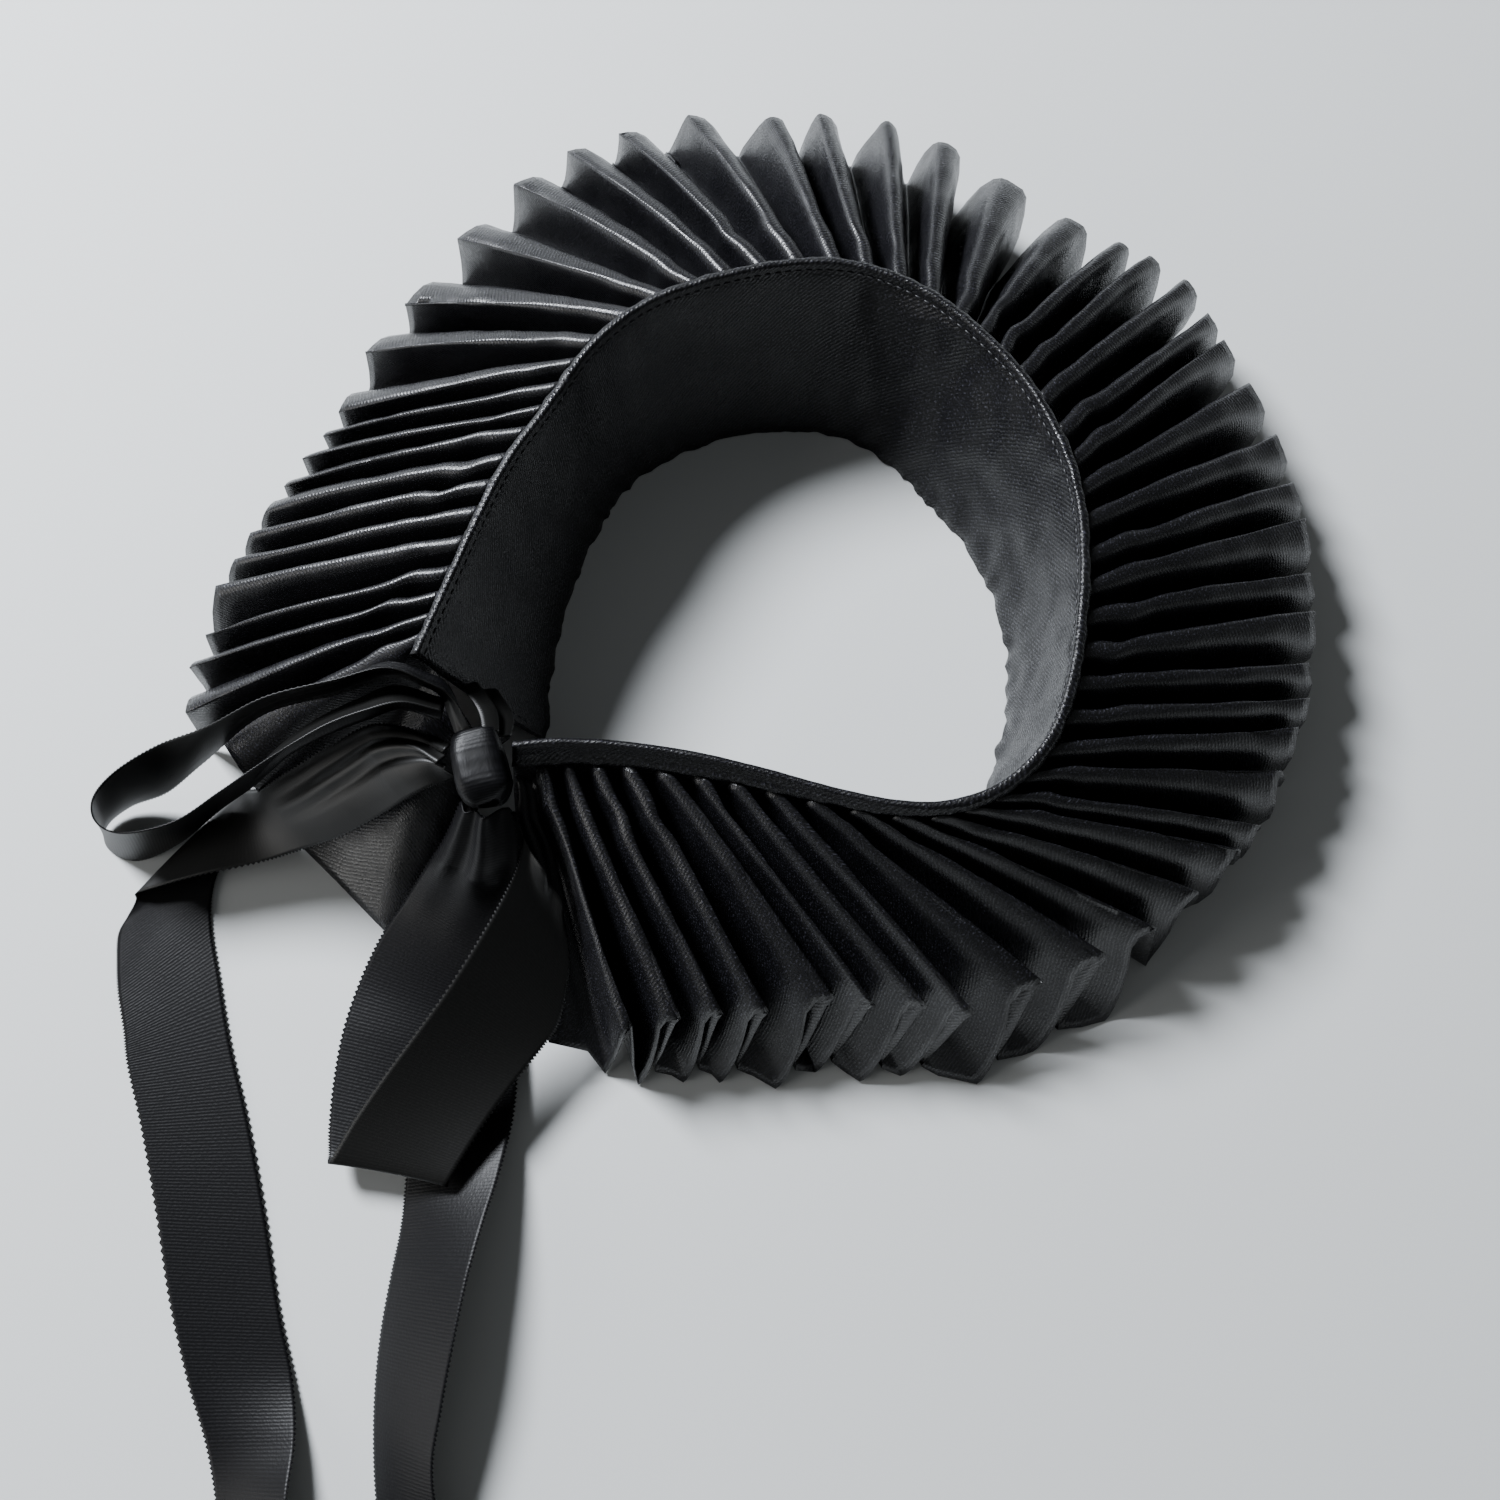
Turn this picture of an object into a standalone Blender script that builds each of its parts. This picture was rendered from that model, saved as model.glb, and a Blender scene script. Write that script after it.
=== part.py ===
# Ruffled collar: a stand-up neck band, one long pleated ruffle sewn round its outside and
# a picot-edged satin ribbon tied in a bow at the front left. Metres, +Z up, front is -Y.
import math

import bpy
import numpy as np
from mathutils import Vector
from mathutils.bvhtree import BVHTree

MM = 0.001
# The point on the table that the tables below count from, seen from the middle of the box.
ORIGIN_X = 10.78
ORIGIN_Y = -92.68
GAP = 0.3

BAND_WALL = 2.0
BAND_HEIGHT = 50.0
BAND_STEPS = 64
BAND_LEVELS = (0.0, 0.3, 0.65, 1.0)
BAND_BELLY = 1.2
CURVE_STEPS = 12
TURN_REACH = 3.0

RUFFLE_WALL = 1.0
RUFFLE_LEVELS = (0.0, 0.1, 0.35, 0.68, 1.0)
ROOT_DEPTH = 8.0
ROOT_LEAN = 0.2
ROOT_ROOM = 0.8
DEPTH_POWER = 0.6
OPEN_PITCH = 7.0
PRESSED = 0.45
ROOT_STEEP = 3.2
HEM_STEEP = 4.2
CREST_BULGE = 2.0
SEAM_DROP = 1.5
SEAM_DROP_END = 7.0
SEAM_LOW_FROM = 330.0

THINNEST = 0.4
ROOM_SHARE = 0.4
RAY_START = 0.05
SHARPEST = 0.7
RIBBON_WALL = 1.0
SATIN = (0.011, 0.011, 0.013)
RIBBON = (0.016, 0.016, 0.015)

# Neck band, clockwise from the left end: its bottom edge and its top edge in plan.
# Columns: foot_x, foot_y, lip_x, lip_y.
BAND = (
    (-52.5, 114.9, -75.5, 119.6),
    (-52.3, 130.0, -70.0, 135.0),
    (-49.0, 151.0, -62.1, 156.3),
    (-45.0, 164.0, -55.8, 170.3),
    (-40.5, 175.0, -47.6, 183.3),
    (-34.0, 186.0, -38.5, 198.5),
    (-24.0, 194.5, -26.5, 210.0),
    (-12.0, 200.3, -12.9, 216.5),
    (3.0, 203.8, 2.9, 221.0),
    (15.3, 204.0, 17.2, 222.6),
    (27.5, 201.0, 30.0, 220.5),
    (38.5, 193.5, 43.2, 214.0),
    (47.5, 183.0, 55.5, 203.0),
    (55.5, 173.0, 65.5, 190.5),
    (62.0, 161.5, 72.5, 176.0),
    (66.0, 149.6, 76.3, 161.7),
    (67.6, 135.0, 77.0, 146.0),
    (66.5, 123.0, 75.6, 131.0),
    (63.7, 112.0, 72.5, 114.8),
    (59.0, 99.0, 66.5, 100.0),
    (50.5, 88.0, 56.0, 89.5),
    (40.0, 81.0, 44.0, 85.0),
    (29.0, 77.5, 32.0, 85.0),
    (15.0, 76.0, 18.0, 88.0),
    (-1.0, 76.5, 3.0, 92.3),
    (-17.0, 78.5, -12.0, 96.0),
    (-34.0, 82.0, -28.0, 98.5),
    (-48.0, 86.5, -42.0, 99.2),
    (-58.0, 90.0, -52.5, 98.4),
)

# One row for each pleat of the ruffle, clockwise from the left end: where its crest leaves
# the band's seam, where the crest ends at the hem, how high it stands there, how far the
# fold after it lies towards the next crest (1 is under it), and how far that fold reaches
# beyond the line of the crests. Round is 1 for a rounded fold and 0 for a pressed one, and
# swell is how far its side stands out at the hem.
# Columns: seam, tip_x, tip_y, lift, fold, out, round, swell.
PLEATS = (
    (6.0, -125.7, 106.4, 24.0, 1.10, 3.0, 0.0, 0.0),
    (11.0, -135.7, 114.5, 24.0, 1.15, 4.5, 0.0, 0.0),
    (16.5, -135.7, 125.5, 25.0, 0.80, 5.0, 0.3, 0.0),
    (23.0, -132.7, 133.8, 25.0, 0.15, 5.0, 0.5, 0.0),
    (31.0, -131.0, 146.3, 26.0, 0.15, 5.0, 1.0, 2.0),
    (39.0, -127.6, 154.1, 25.0, 0.15, 5.0, 1.0, 2.0),
    (46.5, -124.3, 161.1, 25.0, 0.15, 5.0, 1.0, 2.0),
    (54.0, -120.9, 168.0, 25.0, 1.00, 5.0, 1.0, 2.0),
    (62.5, -117.2, 174.1, 25.0, 1.15, 5.0, 0.0, 0.0),
    (69.5, -113.3, 181.7, 25.0, 1.15, 5.0, 0.0, 0.0),
    (76.5, -108.5, 188.2, 25.0, 1.15, 5.0, 0.0, 0.0),
    (84.0, -104.9, 194.5, 26.0, 1.05, 6.0, 0.0, 0.0),
    (91.0, -99.9, 212.9, 24.0, 1.10, 7.0, 0.6, 0.0),
    (102.0, -90.7, 227.2, 24.0, 1.00, 4.0, 0.6, 0.0),
    (111.5, -77.9, 247.5, 24.0, 0.95, 5.0, 0.6, 0.0),
    (120.0, -63.5, 264.5, 24.0, 1.00, 9.0, 0.6, 0.0),
    (128.0, -49.5, 275.1, 24.0, 1.00, 10.0, 0.6, 0.0),
    (137.0, -35.8, 281.0, 24.0, 0.75, 9.0, 0.6, 0.0),
    (145.5, -16.7, 287.2, 24.0, 0.55, 6.0, 0.6, 0.0),
    (154.5, 6.6, 286.2, 24.0, 0.55, 5.0, 0.6, 0.0),
    (162.0, 19.2, 286.5, 25.0, 0.50, 4.0, 0.6, 0.0),
    (170.0, 37.8, 283.9, 25.0, 0.40, 2.0, 0.6, 0.0),
    (179.0, 53.7, 277.4, 24.0, 0.30, -7.0, 0.9, 3.0),
    (187.0, 71.1, 265.1, 24.0, 0.40, -13.0, 0.9, 3.0),
    (194.0, 86.8, 252.2, 25.0, 0.50, -7.0, 0.9, 3.0),
    (201.0, 98.5, 244.4, 26.0, 0.55, -6.0, 0.9, 3.0),
    (208.0, 105.9, 240.4, 26.0, 0.55, -6.0, 0.9, 3.0),
    (216.5, 115.4, 233.3, 25.0, 0.35, -6.0, 1.0, 4.5),
    (226.0, 120.0, 222.1, 26.0, 0.45, -6.0, 1.0, 4.5),
    (233.5, 123.0, 215.0, 26.0, 0.50, -6.0, 1.0, 4.5),
    (241.0, 129.0, 201.7, 25.0, 0.60, -6.0, 1.0, 4.5),
    (249.0, 134.2, 187.3, 25.0, 0.65, -6.0, 1.0, 4.5),
    (257.5, 136.9, 174.4, 25.0, 0.75, -6.0, 1.0, 4.5),
    (265.5, 138.7, 165.0, 25.0, 0.80, -6.0, 1.0, 4.5),
    (273.0, 138.1, 150.0, 25.0, 0.70, -6.0, 1.0, 4.5),
    (281.0, 138.2, 139.9, 25.0, 0.75, -6.0, 1.0, 4.5),
    (289.0, 135.0, 126.3, 25.0, 0.70, -6.0, 1.0, 4.5),
    (297.5, 134.8, 117.5, 25.0, 0.80, -5.0, 0.9, 3.0),
    (306.0, 131.1, 110.2, 25.0, 0.85, -5.0, 0.9, 3.5),
    (314.0, 125.9, 99.4, 25.0, 0.80, -6.0, 1.0, 4.5),
    (321.5, 119.6, 86.0, 25.0, 0.90, -4.0, 0.8, 3.0),
    (328.0, 114.4, 80.4, 25.0, 0.95, 0.0, 0.8, 3.0),
    (335.0, 104.1, 70.4, 24.0, 1.05, 6.0, 0.5, 1.5),
    (343.0, 93.7, 62.2, 24.0, 1.20, 12.0, 0.0, 0.0),
    (352.0, 82.2, 55.5, 24.0, 1.20, 13.0, 0.0, 0.0),
    (362.0, 66.7, 49.8, 24.0, 1.15, 14.0, 0.0, 0.0),
    (371.5, 50.8, 42.5, 24.0, 1.20, 14.0, 0.0, 0.0),
    (380.0, 40.5, 44.3, 24.0, 1.15, 15.0, 0.0, 0.0),
    (388.0, 28.4, 44.5, 24.0, 1.15, 15.0, 0.0, 0.0),
    (396.5, 19.4, 46.1, 24.0, 1.10, 15.0, 0.0, 0.0),
    (404.5, 4.3, 42.7, 24.0, 1.15, 13.0, 0.0, 0.0),
    (411.5, -6.1, 42.3, 24.0, 1.15, 12.0, 0.0, 0.0),
    (418.5, -15.6, 41.4, 24.0, 1.15, 11.0, 0.0, 0.0),
    (424.0, -26.7, 39.8, 24.0, 1.10, 9.0, 0.0, 0.0),
)
# Across a pleat: place between two crests at the seam, height left, at the hem the share of
# the way down to the fold or back up from it, and the share of its reach, then the same two
# for a rounded pleat. Columns: place, height, way, reach, round_way, round_reach.
AWAY = (
    (0.0, 1.0, 0.0, 0.0, 0.0, 0.0),
    (0.24, 0.87, 0.30, 0.13, 0.50, 0.0),
    (0.28, 0.25, 0.70, 0.75, 0.82, 0.35),
)
BACK = (
    (0.5, 0.0, 0.0, 1.0, 0.0, 1.0),
    (0.72, 0.25, 0.06, 0.75, 0.18, 0.50),
    (0.76, 0.87, 0.84, 0.13, 0.60, 0.05),
)

# The two flat end panels: place on the seam, hem in plan, and height left at the hem.
# Columns: seam, hem_x, hem_y, height.
START_PANEL = (
    (0.5, -92.0, 68.0, 0.02),
    (1.8, -102.0, 77.5, 0.02),
    (3.1, -112.0, 87.0, 0.0),
    (4.2, -115.5, 91.5, 0.25),
    (4.7, -122.5, 101.5, 0.87),
)
FINISH_PANEL = (
    (425.0, -28.8, 37.6, 0.87),
    (425.6, -32.0, 33.9, 0.25),
    (427.0, -34.6, 31.4, 0.0),
    (428.5, -38.5, 36.0, 0.22),
    (430.0, -47.5, 37.8, 0.33),
)

# Ribbons: one row for each station, with the two selvedges as points.
# Columns: a_x, a_y, a_z, b_x, b_y, b_z.
LOOP_LEFT = (
    (-61.6, 101.4, 51.8, -63.0, 102.2, 46.6),
    (-65.0, 106.8, 58.0, -68.0, 110.4, 43.0),
    (-70.0, 109.5, 60.0, -73.0, 114.0, 43.0),
    (-79.0, 112.5, 61.0, -82.0, 117.0, 42.0),
    (-91.0, 111.0, 57.5, -94.5, 113.5, 41.0),
    (-108.0, 109.0, 51.5, -113.0, 110.0, 36.5),
    (-123.5, 105.0, 42.5, -131.5, 103.0, 21.0),
    (-139.0, 104.0, 31.0, -145.0, 99.5, 7.0),
    (-149.5, 98.5, 28.0, -155.5, 97.0, 2.6),
    (-154.5, 92.5, 26.5, -161.5, 92.0, 1.4),
    (-153.5, 87.0, 25.5, -160.5, 86.5, 0.8),
    (-147.0, 84.5, 25.0, -153.0, 83.5, 0.8),
    (-135.0, 87.0, 26.0, -142.0, 87.5, 3.0),
    (-123.0, 92.5, 32.0, -130.5, 94.5, 9.0),
    (-113.0, 96.0, 39.5, -119.5, 97.5, 19.5),
    (-102.0, 99.5, 47.5, -107.5, 101.5, 32.0),
    (-93.0, 102.5, 52.5, -97.0, 105.0, 37.5),
    (-84.0, 104.5, 56.0, -87.5, 107.5, 41.0),
    (-76.0, 106.0, 57.0, -79.5, 109.5, 42.5),
    (-67.5, 104.0, 57.5, -70.5, 107.5, 41.0),
)
LOOP_FRONT = (
    (-64.2, 87.2, 43.6, -53.6, 85.6, 44.2),
    (-69.5, 81.5, 33.0, -52.5, 75.0, 35.0),
    (-76.0, 76.5, 22.5, -56.0, 67.0, 25.0),
    (-82.0, 70.5, 14.5, -61.0, 60.0, 17.0),
    (-88.0, 63.0, 10.0, -65.0, 53.0, 12.0),
    (-93.0, 53.0, 7.0, -68.5, 45.0, 9.0),
    (-96.5, 41.0, 6.0, -71.5, 35.0, 7.5),
    (-98.0, 29.0, 5.5, -72.5, 23.0, 6.5),
    (-98.2, 18.0, 5.5, -71.8, 12.5, 6.5),
    (-97.6, 12.0, 6.0, -70.8, 6.8, 6.8),
    (-97.0, 10.3, 7.6, -70.0, 5.2, 8.4),
    (-96.0, 11.4, 9.2, -69.3, 6.4, 9.9),
    (-91.0, 19.5, 12.0, -66.5, 11.0, 10.8),
    (-84.0, 29.0, 15.5, -60.5, 20.5, 11.6),
    (-76.5, 38.5, 19.0, -54.0, 29.5, 12.2),
    (-69.0, 48.0, 23.0, -48.5, 36.5, 12.6),
    (-62.0, 58.0, 27.5, -45.0, 41.5, 13.5),
    (-56.5, 66.5, 31.5, -43.0, 49.0, 16.0),
    (-52.5, 73.5, 35.5, -42.0, 57.0, 20.0),
    (-50.5, 79.5, 39.5, -43.5, 67.0, 26.0),
)
TAIL_LEFT = (
    (-66.3, 98.6, 50.2, -65.2, 92.5, 46.5),
    (-76.0, 101.5, 50.0, -71.5, 91.5, 45.0),
    (-87.0, 102.0, 42.0, -78.0, 91.0, 38.5),
    (-98.5, 100.5, 33.5, -86.0, 89.0, 31.0),
    (-110.0, 97.5, 24.5, -96.0, 84.5, 21.5),
    (-123.0, 93.5, 15.0, -109.0, 82.5, 13.0),
    (-131.5, 89.5, 8.0, -119.0, 80.5, 7.5),
    (-139.0, 85.5, 4.4, -127.0, 79.0, 4.8),
    (-145.5, 79.5, 4.0, -132.5, 78.0, 4.2),
    (-150.0, 73.5, 3.6, -134.5, 76.0, 3.4),
    (-153.5, 68.5, 1.6, -134.0, 71.5, 1.6),
    (-155.0, 62.0, 0.8, -132.5, 66.0, 0.8),
    (-153.5, 50.0, 0.8, -130.0, 54.0, 0.8),
    (-149.0, 36.0, 0.8, -125.5, 38.0, 0.8),
    (-144.0, 20.0, 0.8, -119.5, 20.0, 0.8),
    (-138.5, 0.0, 0.8, -113.5, -1.0, 0.8),
    (-133.0, -20.0, 0.8, -108.5, -21.0, 0.8),
    (-127.0, -37.0, 0.8, -103.5, -37.0, 1.6),
    (-121.5, -50.0, 0.8, -101.0, -49.0, 5.0),
    (-118.0, -62.0, 0.8, -100.5, -61.5, 9.5),
    (-115.5, -75.0, 0.8, -97.5, -74.0, 10.5),
    (-113.0, -88.0, 0.8, -92.0, -86.5, 7.0),
    (-111.0, -99.0, 0.8, -86.5, -96.5, 2.0),
    (-110.0, -109.0, 0.8, -84.5, -104.5, 0.8),
)
TAIL_RIGHT = (
    (-63.5, 88.5, 36.5, -53.5, 86.5, 37.0),
    (-68.0, 84.0, 25.0, -52.0, 80.0, 26.0),
    (-72.0, 77.0, 14.0, -53.0, 70.5, 15.0),
    (-76.5, 65.0, 4.5, -54.5, 57.0, 6.0),
    (-79.0, 50.0, 1.2, -55.5, 45.5, 2.5),
    (-80.0, 36.0, 0.8, -55.5, 34.0, 3.5),
    (-80.5, 20.0, 0.8, -56.0, 21.0, 4.4),
    (-80.5, 6.0, 0.8, -58.0, 8.0, 8.5),
    (-81.0, -4.0, 0.8, -60.5, -3.0, 12.5),
    (-82.5, -14.0, 0.8, -63.0, -15.0, 15.0),
    (-84.0, -26.0, 0.8, -65.0, -28.0, 16.0),
    (-84.5, -38.0, 0.8, -67.0, -41.0, 15.0),
    (-84.0, -50.0, 0.8, -68.5, -53.0, 13.5),
    (-82.5, -62.0, 0.8, -66.5, -64.0, 12.0),
    (-79.5, -75.0, 0.8, -61.0, -75.5, 9.0),
    (-76.0, -88.0, 0.8, -52.5, -87.0, 4.0),
    (-73.5, -99.0, 0.8, -48.0, -97.0, 0.8),
    (-72.0, -108.5, 0.8, -46.5, -103.5, 0.8),
)
# The short stretch from the band's left end to the knot.
TIE = (
    (-67.8, 117.7, 34.0, -61.6, 116.3, 20.0),
    (-62.5, 110.0, 39.5, -58.5, 109.0, 26.0),
    (-59.6, 101.9, 46.8, -57.6, 100.8, 38.4),
)
KNOT_CENTRE = (-59.5, 93.5, 48.5)
KNOT_HALF = (5.6, 8.0, 6.2)
KNOT_TURN = 8.0
KNOT_SIDES = 14
KNOT_RINGS = 7
KNOT_SQUARE = 0.72


def clear_scene():
    for item in list(bpy.data.objects):
        bpy.data.objects.remove(item, do_unlink=True)
    for mesh in list(bpy.data.meshes):
        bpy.data.meshes.remove(mesh)


def smooth(rows, place):
    """The row at a place along a table, on a smooth curve through its rows."""
    rows = np.asarray(rows, float)
    last = len(rows) - 1
    place = min(max(place, 0.0), float(last))
    i = min(int(place), last - 1)
    t = place - i
    p1 = rows[i]
    p2 = rows[i + 1]
    p0 = rows[i - 1] if i > 0 else 2 * p1 - p2
    p3 = rows[i + 2] if i + 2 <= last else 2 * p2 - p1
    a = 2 * p1
    b = (p2 - p0) * t
    c = (2 * p0 - 5 * p1 + 4 * p2 - p3) * t * t
    d = (3 * p1 - p0 - 3 * p2 + p3) * t ** 3
    return 0.5 * (a + b + c + d)


def unit(v):
    return v / max(np.linalg.norm(v), 1e-9)


class Band:
    """The neck band's wall as a surface: along its top edge in mm, and down it."""

    def __init__(self):
        places = np.linspace(0, len(BAND) - 1, 1 + CURVE_STEPS * (len(BAND) - 1))
        self.rows = np.array([smooth(BAND, p) for p in places])
        step = np.linalg.norm(np.diff(self.rows[:, 2:4], axis=0), axis=1)
        self.along = np.concatenate([[0], np.cumsum(step)])
        self.length = float(self.along[-1])

    def edges(self, s):
        row = [np.interp(s, self.along, self.rows[:, k]) for k in range(4)]
        foot = np.array([row[0], row[1], 0.0])
        lip = np.array([row[2], row[3], BAND_HEIGHT])
        return foot, lip

    def outward(self, s):
        before = self.edges(max(s - TURN_REACH, 0.0))
        after = self.edges(min(s + TURN_REACH, self.length))
        foot, lip = self.edges(s)
        along = unit(after[1] + after[0] - before[1] - before[0])
        return unit(np.cross(lip - foot, along))

    def point(self, s, level, off=0.0):
        foot, lip = self.edges(s)
        belly = BAND_BELLY * math.sin(math.pi * level)
        return foot + (lip - foot) * level + self.outward(s) * (belly + off)

    def seam(self, s):
        low = max(0.0, s - SEAM_LOW_FROM) / (self.length - SEAM_LOW_FROM)
        drop = SEAM_DROP + (SEAM_DROP_END - SEAM_DROP) * low
        foot, lip = self.edges(s)
        return lip + unit(foot - lip) * drop


def room(mid, faces, normal, side, half):
    """Half the wall at each point, less where the cloth comes back close to itself."""
    cols = mid.shape[1]
    tree = BVHTree.FromPolygons(
        [tuple(p) for p in mid.reshape(-1, 3)],
        [[r * cols + c for r, c in quad] for quad, _ in faces],
    )
    half = half.copy()
    for index in np.ndindex(*mid.shape[:2]):
        way = Vector(normal[index] * side)
        hit = tree.ray_cast(Vector(mid[index]) + way * RAY_START, way, half[index] * 4)
        if hit[3] is not None:
            near = (hit[3] + RAY_START) * ROOM_SHARE
            half[index] = max(min(half[index], near), THINNEST / 2)
    return half


def shell(mid, wall):
    """A closed wall about a grid of points: its vertices and faces."""
    mid = np.asarray(mid, float)
    rows, cols = mid.shape[:2]
    half = np.broadcast_to(np.asarray(wall, float) / 2, (rows, cols))
    normal = np.zeros_like(mid)
    faces = []
    for r in range(rows - 1):
        for c in range(cols - 1):
            quad = [(r, c), (r, c + 1), (r + 1, c + 1), (r + 1, c)]
            p = [mid[q] for q in quad]
            n = unit(np.cross(p[2] - p[0], p[3] - p[1]))
            faces.append((quad, n))
            for q in quad:
                normal[q] += n
    size = np.linalg.norm(normal, axis=2, keepdims=True)
    normal = normal / np.maximum(size, 1e-9)
    worst = np.ones((rows, cols))
    for quad, n in faces:
        for q in quad:
            worst[q] = min(worst[q], float(np.dot(n, normal[q])))
    stretch = 1.0 / np.clip(worst, SHARPEST, 1.0)
    upper = mid + normal * (stretch * room(mid, faces, normal, 1, half))[:, :, None]
    lower = mid - normal * (stretch * room(mid, faces, normal, -1, half))[:, :, None]
    for side in (upper, lower):
        side[:, :, 2] = np.maximum(side[:, :, 2], 0.0)
    verts = [tuple(p * MM) for p in upper.reshape(-1, 3)]
    verts += [tuple(p * MM) for p in lower.reshape(-1, 3)]
    base = rows * cols

    def at(r, c):
        return r * cols + c

    out = []
    for r in range(rows - 1):
        for c in range(cols - 1):
            q = (at(r, c), at(r, c + 1), at(r + 1, c + 1), at(r + 1, c))
            cut = np.linalg.norm(mid[r, c] - mid[r + 1, c + 1])
            other = np.linalg.norm(mid[r, c + 1] - mid[r + 1, c])
            if cut <= other:
                corners = ((q[0], q[1], q[2]), (q[0], q[2], q[3]))
            else:
                corners = ((q[0], q[1], q[3]), (q[1], q[2], q[3]))
            for three in corners:
                out.append(three)
                out.append(tuple(base + i for i in reversed(three)))
    rim = [at(0, c) for c in range(cols)]
    rim += [at(r, cols - 1) for r in range(1, rows)]
    rim += [at(rows - 1, c) for c in range(cols - 2, -1, -1)]
    rim += [at(r, 0) for r in range(rows - 2, 0, -1)]
    for i, a in enumerate(rim):
        b = rim[(i + 1) % len(rim)]
        out.append((b, a, base + a, base + b))
    return verts, out


def add_object(name, verts, faces, colour, roughness, metallic=0.0):
    shift = (ORIGIN_X * MM, ORIGIN_Y * MM)
    verts = [(x + shift[0], y + shift[1], z) for x, y, z in verts]
    mesh = bpy.data.meshes.new(name)
    mesh.from_pydata(verts, [], faces)
    mesh.validate()
    volume = 0.0
    for poly in mesh.polygons:
        points = [np.array(mesh.vertices[i].co) for i in poly.vertices]
        for k in range(1, len(points) - 1):
            volume += float(np.dot(points[0], np.cross(points[k], points[k + 1])))
    if volume < 0:
        mesh.flip_normals()
    material = bpy.data.materials.new(name)
    material.use_nodes = True
    shader = material.node_tree.nodes["Principled BSDF"]
    shader.inputs["Base Color"].default_value = (*colour, 1.0)
    shader.inputs["Roughness"].default_value = roughness
    shader.inputs["Metallic"].default_value = metallic
    material.diffuse_color = (*colour, 1.0)
    mesh.materials.append(material)
    item = bpy.data.objects.new(name, mesh)
    bpy.context.scene.collection.objects.link(item)
    return item


def band_grid(band, off):
    grid = []
    for level in BAND_LEVELS:
        row = [band.point(s, level, off) for s in np.linspace(0, band.length, BAND_STEPS + 1)]
        grid.append(row)
    grid = np.array(grid)
    grid[0, :, 2] = 0.0
    return grid


def neck_band(band):
    outer = band_grid(band, BAND_WALL / 2)
    inner = band_grid(band, -BAND_WALL / 2)
    rows, cols = outer.shape[:2]
    verts = [tuple(p * MM) for p in outer.reshape(-1, 3)]
    verts += [tuple(p * MM) for p in inner.reshape(-1, 3)]
    base = rows * cols
    faces = []
    for r in range(rows - 1):
        for c in range(cols - 1):
            q = (r * cols + c, r * cols + c + 1, (r + 1) * cols + c + 1, (r + 1) * cols + c)
            faces.append(q)
            faces.append(tuple(base + i for i in reversed(q)))
    rim = list(range(cols))
    rim += [r * cols + cols - 1 for r in range(1, rows)]
    rim += [(rows - 1) * cols + c for c in range(cols - 2, -1, -1)]
    rim += [r * cols for r in range(rows - 2, 0, -1)]
    for i, a in enumerate(rim):
        b = rim[(i + 1) % len(rim)]
        faces.append((b, a, base + a, base + b))
    return verts, faces


def ruffle_columns():
    """Every column of the ruffle: seam place, hem in plan, crest height and height left."""
    columns = []
    first = PLEATS[0]
    for seam, x, y, height in START_PANEL:
        columns.append((seam, x, y, first[3], height))
    for i, (seam, x, y, lift, fold, out, *form) in enumerate(PLEATS[:-1]):
        after = PLEATS[i + 1]
        chord = np.array([after[1] - x, after[2] - y])
        out_way = unit(np.array([-chord[1], chord[0]]))
        for part, height, way, reach, round_way, round_reach in AWAY + BACK:
            rounded, swell = form if part < 0.5 else after[6:8]
            way += (round_way - way) * rounded
            reach += (round_reach - reach) * rounded
            share = fold * way if part < 0.5 else fold + (1.0 - fold) * way
            proud = out * reach + swell * 4 * height * (1.0 - height)
            spot = np.array([x, y]) + chord * share + out_way * proud
            place = seam + (after[0] - seam) * part
            crest = lift + (after[3] - lift) * part
            columns.append((place, spot[0], spot[1], crest, height))
    last = PLEATS[-1]
    columns.append((last[0], last[1], last[2], last[3], 1.0))
    for seam, x, y, height in FINISH_PANEL:
        columns.append((seam, x, y, last[3], height))
    return columns


def crest_pitches(band):
    """How far apart the crests run, at their roots and at the hem."""
    roots = [band.seam(row[0])[:2] for row in PLEATS]
    tips = [np.array(row[1:3]) for row in PLEATS]
    found = []
    for ends in (roots, tips):
        pitch = []
        for i in range(len(PLEATS)):
            way = unit(tips[i] - roots[i])
            gaps = []
            for k in (i - 1, i + 1):
                if 0 <= k < len(PLEATS):
                    gap = ends[k] - ends[i]
                    gaps.append(abs(gap[0] * way[1] - gap[1] * way[0]))
            pitch.append(min(gaps))
        found.append(pitch)
    return found


def ruffle_walls(band):
    """The ruffle's wall, thinner where its pleats are pressed close at the seam."""
    places = [row[0] for row in PLEATS]
    near, far = crest_pitches(band)
    walls = []
    for level in RUFFLE_LEVELS:
        row = []
        for column in ruffle_columns():
            start = np.interp(column[0], places, near)
            pitch = start + (np.interp(column[0], places, far) - start) * level
            row.append(RUFFLE_WALL * min(1.0, max(PRESSED, pitch / OPEN_PITCH)))
        walls.append(row)
    return np.array(walls)


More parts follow.
